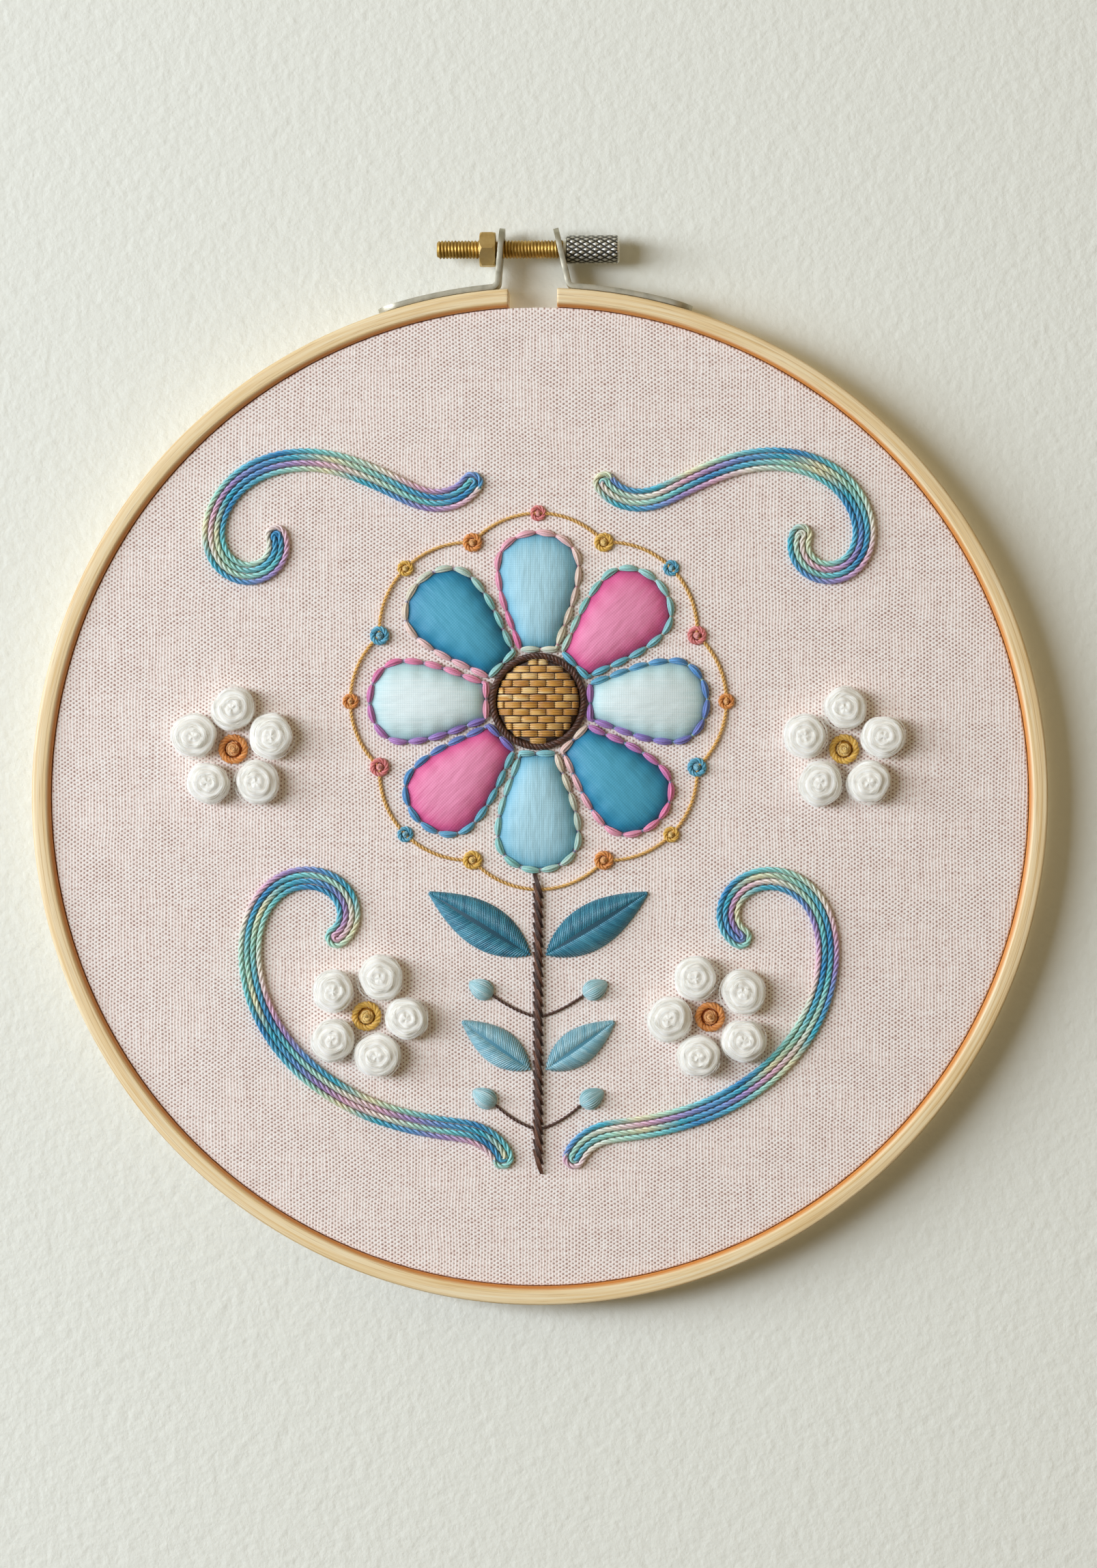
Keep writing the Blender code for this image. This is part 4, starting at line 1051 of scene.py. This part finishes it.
def wool_roving(name, lit, shade):
    """Carded wool, hardly spun: matt and very soft, lighter where light passes through its fibres."""
    finish, tree = new_finish(
        name, Roughness=0.95, Sheen_Weight=1.0, Sheen_Roughness=0.6, Subsurface_Weight=0.25,
        Subsurface_Radius=(1.0, 0.97, 0.92), Subsurface_Scale=0.8 * MM,
    )
    place = add(tree, "TexCoord").outputs["Object"]
    carded = add(tree, "TexNoise", {
        "Scale": 1 / TUFT_SIZE, "Detail": 5.0, "Roughness": 0.65, "Vector": place,
    })
    winding = add(tree, "Attribute", {"attribute_name": "winding"}).outputs["Vector"]
    parts = add(tree, "SeparateXYZ", {0: winding}).outputs
    waver = add(tree, "Math.MULTIPLY", {0: carded, 1: 8.0})
    fibres = add(tree, "Math.MULTIPLY", {0: carded, 1: 0.4})
    for lines in LINES_A_TURN:
        turn = add(tree, "Math.MULTIPLY_ADD", {0: parts[0], 1: math.tau * lines, 2: waver})
        kept = add(tree, "Math.MULTIPLY", {0: add(tree, "Math.SINE", {0: turn}), 1: parts[1]})
        fibres = add(tree, "Math.MULTIPLY_ADD", {0: kept, 1: 0.16, 2: fibres})
    colour = add(tree, "ValToRGB", {"stops": ((0.02, shade), (0.34, lit)), 0: fibres})
    dress(tree, colour, fibres, 0.45, 0.10 * MM)
    return finish


def wool_round(middle, radius, height, start):
    """A soft bun, with the winding kept as a groove that runs in a spiral to its middle."""
    bm = bmesh.new()
    bmesh.ops.create_uvsphere(bm, u_segments=60, v_segments=64, radius=1)
    winding = bm.verts.layers.float_vector.new("winding")
    for vert in bm.verts:
        from_top = math.acos(max(-1, min(1, vert.co.z)))
        round_it = math.atan2(vert.co.y, vert.co.x)
        flat = math.sin(from_top) ** ROUND_FLATNESS
        outward = flat if from_top < math.pi / 2 else 2 - flat
        place = ROUND_TURNS * outward - (round_it - start) / math.tau
        fades = min(1, flat / 0.22) * min(1, max(0, (1.35 - outward) / 0.3))
        lumpy = 1 + 0.035 * math.sin(2 * round_it + 3 * start) + 0.02 * math.sin(5 * round_it + start)
        out = lumpy - GROOVE_DEPTH / radius * (1 - math.sin(math.pi * place) ** 2) * fades
        rise = height / 2 * (1 + math.copysign(abs(math.cos(from_top)) ** 0.9, math.cos(from_top)))
        vert[winding] = (place, fades, 0)
        vert.co = (*beyond(middle, radius * flat * out, round_it), rise - height * 0.5 * (1 - out))
    return laid_on_cloth(plain_mesh(bm), (0, 0), out=CLOTH_FRONT + ROUND_LIFT)


def stray_fibre(middle, radius, height):
    """A fibre that lifts off a round on its way."""
    spans = ((0, math.tau), (0.25, 1.5), (0.5, 1.1), (0.0, 0.09))
    begin, tilt, turns, lift = [dice.uniform(*span) for span in spans]
    share = np.linspace(0, 1, 6)
    tilts = tilt - 0.12 * share
    grow = 1.01 + lift * share
    return points(*beyond(middle, np.sin(tilts) ** ROUND_FLATNESS * radius * grow, begin + turns * share),
                  CLOTH_FRONT + ROUND_LIFT + height / 2 * (1 + np.cos(tilts) ** 0.9) * grow)


def round_places(middle, turn):
    """Place and heading of each of a blossom's rounds."""
    headings = [math.pi / 2 + turn + math.tau * i / ROUNDS for i in range(ROUNDS)]
    return [(beyond(middle, ROUND_REACH, heading), heading) for heading in headings]


wool = wool_roving("white_wool_roving", "FFFFF7", "F3EEE1")
for number, (middle, turn, _) in enumerate(BLOSSOMS, start=1):
    for i, (place, heading) in enumerate(round_places(middle, turn)):
        smaller = 1 - ROUND_UNEVEN * ((i * 2 + number) % 3)
        size = (ROUND_RADIUS * smaller, ROUND_HEIGHT * (2 - smaller))
        strays = [stray_fibre(place, *size) for _ in range(STRAYS)]
        mesh = joined([wool_round(place, *size, heading * 2 + number),
                       threads_mesh(strays, STRAY_FIBRE, [0.5] * STRAYS, sides=4)])
        name = f"wool_round_{number}_{i + 1}"
        finish_piece(name + "_roving", mesh, wool, name, crease=85)

# Scrolls of laid cord
# Three-ply cord in a slowly changing dye, laid in two closed loops one inside the other, so four runs
# lie side by side with round turns at both ends. Hidden stitches hold them down.
SCROLL_HALF_WIDTH = 2.5 * MM
SCROLL_STEP = 0.25 * MM
CORD_WIDTH = 1.22 * MM
CORD_HEIGHT = 1.5 * MM
CORD_PITCH = 4.8 * MM
CORD_STEP = 0.24 * MM
CORD_OFFSETS = (0.625 * MM, 1.875 * MM)
# Name, start, first heading, and how sharply it bends at distances along it
SCROLLS = (
    ("upper_scroll", (13.0 * MM, 68.0 * MM), math.radians(-80), (
        (0, 160), (0.010, 100), (0.022, -10), (0.040, -38), (0.060, -64), (0.080, -150), (0.094, -200),
    )),
    ("lower_scroll", (7.0 * MM, -78.0 * MM), math.radians(88), (
        (0, -150), (0.008, -100), (0.017, 12), (0.040, 22), (0.072, 32), (0.098, 95), (0.120, 190),
    )),
)
CORD_SKEIN = (
    (0.00, "66CAE4"), (1.00, "66CAE4"), (0.10, "3294D0"), (0.19, "7ADCE0"), (0.29, "C8F4E0"),
    (0.38, "FFF8E8"), (0.47, "F0C2D8"), (0.55, "B49CD6"), (0.63, "6AA8E2"), (0.73, "44C2D8"),
    (0.82, "FAF6CC"), (0.91, "B2ECDA"),
)


def scroll_line(start, heading, bends):
    """Points of a scroll's middle line with their headings. Its bend eases between the table's rows."""
    across, up = start
    line = [(across, up, heading)]
    for i in range(round(bends[-1][0] / SCROLL_STEP)):
        along = (i + 0.5) * SCROLL_STEP
        rows = next(pair for pair in zip(bends, bends[1:]) if along <= pair[1][0])
        (last, bend), (following, wanted) = rows
        share = (along - last) / (following - last)
        bend += (wanted - bend) * share * share * (3 - 2 * share)
        across, up = beyond((across, up), SCROLL_STEP, heading + bend * SCROLL_STEP / 2)
        heading += bend * SCROLL_STEP
        line.append((across, up, heading))
    return line


def cord_loop(line, offset, out):
    """A closed run down one side of a middle line and back up the other, round both of its ends."""
    inset = round(SCROLL_HALF_WIDTH / SCROLL_STEP)
    run = line[inset:-inset]
    loop = []
    for way in (run, [(x, y, h + math.pi) for x, y, h in reversed(run)]):
        x, y, h = way[-1]
        loop += [(*beyond(spot, offset, aim + math.pi / 2), out) for *spot, aim in way]
        loop += [(*beyond((x, y), offset, h + math.pi / 2 - math.pi * i / 12), out) for i in range(1, 12)]
    return spaced(loop + loop[:1], CORD_STEP)


cord_cotton = dyed_cotton("variegated_three_ply_cotton", CORD_SKEIN, 84 * MM, roughness=0.45)
for scroll, *route in SCROLLS:
    for side_name, side in (("left", -1), ("right", 1)):
        line = scroll_line(*route)
        if side < 0:
            line = [(-x, y, math.pi - h) for x, y, h in line]
        lines, dyes = [], []
        for number, offset in enumerate(CORD_OFFSETS):
            loop = cord_loop(line, offset, CLOTH_FRONT + CORD_HEIGHT / 2)
            length = with_length(loop)[1]
            pitch = length[-1] / round(length[-1] / CORD_PITCH)
            plies, ply_width = twisted(loop, 3, CORD_WIDTH, pitch, CORD_HEIGHT)
            lines += plies
            dyes += [length + (31 * number + 0.8 * ply + 17 * (side > 0)) * MM for ply in range(3)]
        name = f"{scroll}_{side_name}"
        thread_piece(name + "_cords", lines, ply_width, dyes, cord_cotton, name)

# Stem
# Stem stitch in dark brown stranded cotton: each stitch starts beside the middle of the last one and
# slants across it, so the row reads as a rope.
STEM_TOP = -16.0 * MM
STEM_FOOT = -79.0 * MM
STEM_STITCH = 5.2 * MM
STEM_ADVANCE = 2.1 * MM
STEM_THREAD = 0.46 * MM
STEM_SLANT = 1.56 * MM
STRAND_SPACING = 0.28 * MM

lines, dyes = [], []
share = np.linspace(0, 1, 9)
arch = swell(share, 1, 1)
last_foot = STEM_TOP - STEM_STITCH
count = round((last_foot - STEM_FOOT) / STEM_ADVANCE)
for number in range(count + 1):
    foot = STEM_FOOT + (last_foot - STEM_FOOT) * number / count
    shade = 0.18 + 0.42 * (number % 2) + 0.18 * dice.random()
    for strand in (-1, 0, 1):
        across = STEM_SLANT * (0.5 - share) + STRAND_SPACING * strand
        out = CLOTH_FRONT + (0.35 + 0.95 * arch ** 0.7) * MM
        lines.append(points(across, foot + STEM_STITCH * share, out, 0.6 + 0.4 * arch))
        dyes.append(shade + 0.1 * strand)
thread_piece("stem_stitches", lines, STEM_THREAD, dyes, brown_cotton, "stem")

# Leaves
# Satin stitch over a felt pad: close silky threads run slantwise from the midrib out to each edge,
# and the midrib lies in the groove between the two halves.
# Name, root, tip, half width, finish and skein
LEAVES = (
    ("upper_leaf", (1.8 * MM, -33.0 * MM), (23.0 * MM, -20.0 * MM), 4.6 * MM, "teal_satin",
     ((0.0, "145066"), (1.0, "8CCBD8"), (0.4, "2A7D99"), (0.7, "4D9FB7"))),
    ("lower_leaf", (1.8 * MM, -57.0 * MM), (16.0 * MM, -47.0 * MM), 3.6 * MM, "light_blue_satin",
     ((0.0, "4A93AD"), (1.0, "D5EFF3"), (0.4, "83BFD0"), (0.7, "A9D6E0"))),
)
LEAF_CROWN = 2.2 * MM
LEAF_FORWARD = 0.85
LEAF_FLATNESS = 0.9
LEAF_PAD = 0.84
LEAF_GRID = (40, 20)
LEAF_SLANT = 0.62
SATIN_THREAD = 0.50 * MM
SATIN_SPACING = 0.42 * MM

share = np.linspace(0, 1, 8)
groove = 0.35 * (1 - share) ** 5
for leaf, root, tip, half_width, slot, skein in LEAVES:
    length = math.dist(root, tip)

    def leaf_half_width(along):
        return half_width * np.maximum(0.03, swell(along, LEAF_FORWARD, LEAF_FLATNESS))

    def leaf_crown(along):
        return PETAL_EDGE + (LEAF_CROWN - PETAL_EDGE) * swell(along, LEAF_FORWARD, LEAF_FLATNESS)

    silky_cotton = dyed_cotton(leaf + "_silky_cotton", skein, roughness=0.42)
    for side_name, side in (("left", -1), ("right", 1)):
        start = (side * root[0], root[1])
        heading = math.atan2(tip[1] - root[1], side * (tip[0] - root[0]))
        lines, dyes = [], []
        for half in (-1, 1):
            for number in range(round(length / SATIN_SPACING)):
                begin = number * SATIN_SPACING
                slant = LEAF_SLANT * leaf_half_width(begin / length)
                if begin + slant < length:
                    along = begin + slant * share
                    reach = half * share * leaf_half_width(along / length)
                    rise = leaf_crown(along / length) * np.maximum(0.12, puff(share) - groove)
                    place = beyond(beyond(start, along, heading), reach, heading + math.pi / 2)
                    lines.append(points(*place, CLOTH_FRONT + rise - SATIN_THREAD / 4))
                    dyes.append(min(0.95, max(0.05, 0.5 + 0.35 * (dice.random() - 0.5))))
        pad = pad_mesh(length, leaf_half_width, lambda along: leaf_crown(along) * LEAF_PAD, *LEAF_GRID, 0)
        laid_on_cloth(pad, start, heading)
        name = f"{leaf}_{side_name}"
        mesh = joined([threads_mesh(lines, SATIN_THREAD, dyes), pad])
        piece = finish_piece(name + "_satin", mesh, silky_cotton, name, crease=85)

# Garland round the flower
# A golden two-ply thread hangs in small bows from rosette to rosette, outside the petals, with a
# smaller rosette sewn over the middle of each bow but the lowest, which the stem crosses.
GARLAND_BOW = 3.4 * MM
GARLAND_WIDTH = 0.85 * MM
GARLAND_PITCH = 1.7 * MM
GARLAND_STEP = 0.25 * MM
SMALL_ROSETTE_SIZE = (1.75 * MM, 1.9 * MM, 1.0 * MM)

lines = []
share = np.linspace(-1, 1, 49)
for number in range(PETAL_COUNT):
    heading = petal_heading(number) + share * math.pi / PETAL_COUNT
    bow = beyond(FLOWER, ROSETTE_REACH + GARLAND_BOW * (1 - share * share), heading)
    bow = spaced(points(*bow, CLOTH_FRONT + GARLAND_WIDTH * 0.55), GARLAND_STEP)
    plies, ply_width = twisted(bow, 2, GARLAND_WIDTH, GARLAND_PITCH, phase=number)
    lines += plies
thread_piece("garland_thread", lines, ply_width, [0.62] * len(lines), golden_cotton)
for number in range(PETAL_COUNT):
    if number != PETAL_COUNT // 2:
        heading = petal_heading(number)
        rosette_piece(f"small_rosette_{number + 1}", beyond(FLOWER, ROSETTE_REACH + GARLAND_BOW, heading),
                      SMALL_ROSETTE_SIZE, heading, ROSETTES[(number + 1) % len(ROSETTES)][0])

# Satin buds
# Drop-shaped buds of pale silky thread gathered at both ends, each hung from the stem or a scroll by
# a thin brown stalk with a tiny wrapped cap.
BUD_LENGTH = 5.4 * MM
BUD_WIDTH = 3.9 * MM
BUD_HEIGHT = 2.2 * MM
BUD_THREADS = 11
BUD_THREAD = 0.52 * MM
STALK_WIDTH = 0.75 * MM
STALK_PITCH = 1.8 * MM
STALK_BEND = 1.2 * MM
# Place and heading of a right-hand bud, and the foot of its stalk
BUDS = (
    ((9.6 * MM, -41.5 * MM), math.radians(28), (0.8 * MM, -46.0 * MM)),
    ((9.0 * MM, -64.5 * MM), math.radians(32), (0.8 * MM, -69.5 * MM)),
)

lines, dyes, stalks = [], [], []
share = np.linspace(0, 1, 11)
full = swell(share, 0.8, 0.75)
along = np.linspace(0, 1, 31)
for (across, up), lean, (foot_across, foot_up) in BUDS:
    for side in (-1, 1):
        heading = lean if side > 0 else math.pi - lean
        for spread in np.linspace(-1, 1, BUD_THREADS):
            reach = spread * BUD_WIDTH / 2 * (0.12 + 0.88 * full)
            rise = BUD_HEIGHT * (0.25 + 0.75 * full) * puff(0.96 * spread)
            spine = beyond((side * across, up), share * BUD_LENGTH, heading)
            place = beyond(spine, reach, heading + math.pi / 2)
            lines.append(points(*place, CLOTH_FRONT + rise, 0.55 + 0.45 * full))
            dyes.append(0.35 + 0.35 * dice.random())
        bend = np.array([
            (side * foot_across, foot_up), (side * (foot_across + across) / 2, foot_up + STALK_BEND),
            (side * across, up),
        ])
        weights = points((1 - along) ** 2, 2 * along * (1 - along), along ** 2)
        stalk = points(*(weights @ bend).T, CLOTH_FRONT + STALK_WIDTH / 2)
        plies, stalk_ply = twisted(stalk, 2, STALK_WIDTH, STALK_PITCH)
        stalks += plies
bud_skein = ((0.0, "6FAEBB"), (1.0, "EAF7F6"), (0.5, "A9D6DC"))
bud_cotton = dyed_cotton("pale_silky_cotton", bud_skein, roughness=0.42)
thread_piece("satin_buds", lines, BUD_THREAD, dyes, bud_cotton)
thread_piece("bud_stalks", stalks, stalk_ply, [0.5] * len(stalks), brown_cotton)

# Stitch backs
# Behind the cloth, each front stitch leaves a short flat run of the same thread, and longer runs
# carry a colour from one motif to the next.
CLOTH_BACK = CLOTH_FRONT - CLOTH_THICKNESS
BACK_THREAD = 0.55 * MM
SCROLL_TIE = 2.1 * MM
ROUND_TIE = 2 * MM
WOOL_DYE = 140 * MM
STEM_DYE = 60 * MM
CENTRE_DYE = 130 * MM

lines, dyes = [], []
share = np.linspace(0, 1, 7)
bow = swell(share, 1, 1)


def back_run(start, end, dye, slack=0.0):
    """One thread across the back of the cloth, from hole to hole."""
    lines.append(points(start[0] + (end[0] - start[0]) * share + slack * bow,
                        start[1] + (end[1] - start[1]) * share,
                        CLOTH_BACK - BACK_THREAD * (0.1 + 0.35 * np.minimum(1, 3 * bow))))
    dyes.append(dye)


for number in range(PETAL_COUNT):
    outline = petal_outline(number)
    step = round(STITCH_LENGTH / OUTLINE_STEP / 2)
    for i in range(0, len(outline) - step, 2 * step):
        back_run(outline[i], outline[i + step], number * DYE_SHIFT)
for _, *route in SCROLLS:
    line = scroll_line(*route)
    for side in (-1, 1):
        for i in range(8, len(line) - 8, 10):
            x, y, h = line[i]
            lean = dice.uniform(0.5, 1.1) * MM
            beside, above = SCROLL_TIE * math.sin(h), SCROLL_TIE * math.cos(h)
            ends = ((side * (x - beside), y + above), (side * (x + beside + lean), y - above))
            back_run(*ends, (90 + 0.3 * i) * MM)
for middle, turn, _ in BLOSSOMS:
    for spot, heading in round_places(middle, turn):
        for across in (heading, heading + 1.2):
            back_run(beyond(spot, -ROUND_TIE, across), beyond(spot, ROUND_TIE, across), WOOL_DYE)
        back_run(spot, middle, WOOL_DYE, slack=0.8 * MM)
for i in range(round((STEM_TOP - STEM_FOOT) / STEM_ADVANCE) - 1):
    up = STEM_FOOT + STEM_ADVANCE * (i + 0.3)
    back_run((-0.3 * MM, up), (0.3 * MM, up + 0.8 * STEM_ADVANCE), STEM_DYE)
for i in range(16):
    up = (i - 7.5) * MM
    half = math.sqrt(max(0, CENTRE_RADIUS ** 2 - up ** 2))
    back_run((-half, FLOWER[1] + up), (half, FLOWER[1] + up + 0.6 * MM), CENTRE_DYE)
back_run((0, FLOWER[1] - CENTRE_RADIUS), (0.5 * MM, STEM_TOP), STEM_DYE, slack=1.5 * MM)
thread_piece("stitch_backs", lines, BACK_THREAD, dyes, chain_cotton)

# Wall, floor, light and camera
# A pale plastered wall just behind the hoop takes its shadow, and a plain floor lies below. Both show
# only from their front, so the back of the hoop can be seen through the wall.
PHOTO_WIDTH = 1607
PHOTO_HEIGHT = 2296
PIXELS_PER_METRE = 7000
HOOP_CENTRE_PX = (788, 1167)
CAMERA_DISTANCE = 1.05
CAMERA_AZIMUTH = math.radians(2.2)
CAMERA_ELEVATION = math.radians(0.6)
SENSOR_WIDTH = 36
WALL_BEHIND = 0.8 * MM
FLOOR_DROP = 0.75
ROOM_SIZE = 6.0
# Name, place, width, height, power and colour
LAMPS = (
    ("window", (-1.55, -1.20, 0.24), 2.1, 0.60, 54, "E9F0FC"),
    ("room", (0.9, -1.1, 0.1), 1.2, 1.2, 1.2, "FFCB8C"),
    ("behind", (0.1, 1.8, 0.2), 0.5, 0.5, 26, "F4F6FF"),
)


def one_sided_paint(name, colour, bump_size, bump_depth):
    """Matt wall paint over rolled plaster, seen only from its front."""
    finish, tree = new_finish(name, Roughness=0.9)
    place = add(tree, "TexCoord").outputs["Object"]
    plaster = add(tree, "TexNoise", {
        "Scale": 1 / bump_size, "Detail": 4.0, "Roughness": 0.55, "Vector": place,
    })
    dress(tree, colour, plaster, 0.6, bump_depth)
    behind = add(tree, "NewGeometry").outputs["Backfacing"]
    clear = add(tree, "BsdfTransparent")
    either = add(tree, "MixShader", {0: behind, 1: tree.nodes["Principled BSDF"], 2: clear})
    feed(tree, tree.nodes["Material Output"].inputs["Surface"], either)
    return finish


def aimed(name, data, place, way):
    """A lamp or camera at a place, turned to look a given way."""
    holder = bpy.data.objects.new(name, data)
    holder.location = place
    holder.rotation_mode = "QUATERNION"
    holder.rotation_quaternion = way.to_track_quat("-Z", "Y")
    bpy.context.scene.collection.objects.link(holder)
    return holder


for name, colour, place, turn in (
    ("wall", "EFF0E5", (0, WALL_BEHIND, ROOM_SIZE / 2 - FLOOR_DROP), math.pi / 2),
    ("floor", "E6E4DE", (0, WALL_BEHIND - ROOM_SIZE / 2, -FLOOR_DROP), 0),
):
    bm = bmesh.new()
    bmesh.ops.create_grid(bm, x_segments=1, y_segments=1, size=ROOM_SIZE / 2)
    bmesh.ops.transform(bm, matrix=Matrix.Translation(place) @ Matrix.Rotation(turn, 4, "X"), verts=bm.verts)
    backdrop = loose(plain_mesh(bm))
    backdrop.name = name
    backdrop.data.materials.append(one_sided_paint(name + "_paint", colour, 2.2 * MM, 0.5 * MM))
    backdrop.visible_shadow = False
    backdrop.visible_diffuse = False
    backdrop.visible_glossy = name == "wall"

# The room's light is warm, dim and stronger from above, and the camera sees it as pale paper
world = bpy.data.worlds.new("studio")
world.use_nodes = True
tree = world.node_tree
room_light = tree.nodes["Background"]
upward = add(tree, "SeparateXYZ", {0: add(tree, "TexCoord").outputs["Generated"]}).outputs["Z"]
feed(tree, room_light.inputs["Color"], "FFF1CB")
feed(tree, room_light.inputs["Strength"], add(tree, "Math.MULTIPLY_ADD", {0: upward, 1: 0.15, 2: 0.20}))
paper = add(tree, "Background", {"Color": "E2E1DA", "Strength": 1.0})
seen = add(tree, "LightPath").outputs["Is Camera Ray"]
either = add(tree, "MixShader", {0: seen, 1: room_light, 2: paper})
feed(tree, tree.nodes["World Output"].inputs["Surface"], either)
bpy.context.scene.world = world
for name, place, width, height, power, colour in LAMPS:
    lamp = bpy.data.lights.new(name, "AREA")
    lamp.shape = "RECTANGLE"
    lamp.size = width
    lamp.size_y = height
    lamp.energy = power
    lamp.color = linear(colour)[:3]
    # The light behind reaches the back through the wall, so no gloss may mirror it
    aimed(name, lamp, place, -Vector(place)).visible_glossy = place[1] < 0
bpy.context.scene.view_settings.view_transform = "Standard"

lens = bpy.data.cameras.new("camera")
lens.sensor_width = SENSOR_WIDTH
lens.lens = SENSOR_WIDTH * CAMERA_DISTANCE * PIXELS_PER_METRE / PHOTO_HEIGHT
aim = Vector((
    (PHOTO_WIDTH / 2 - HOOP_CENTRE_PX[0]) / PIXELS_PER_METRE, -HOOP_DEPTH,
    (HOOP_CENTRE_PX[1] - PHOTO_HEIGHT / 2) / PIXELS_PER_METRE,
))
back = Vector((
    math.sin(CAMERA_AZIMUTH) * math.cos(CAMERA_ELEVATION),
    -math.cos(CAMERA_AZIMUTH) * math.cos(CAMERA_ELEVATION),
    math.sin(CAMERA_ELEVATION),
))
bpy.context.scene.camera = aimed("camera", lens, aim + back * CAMERA_DISTANCE, -back)
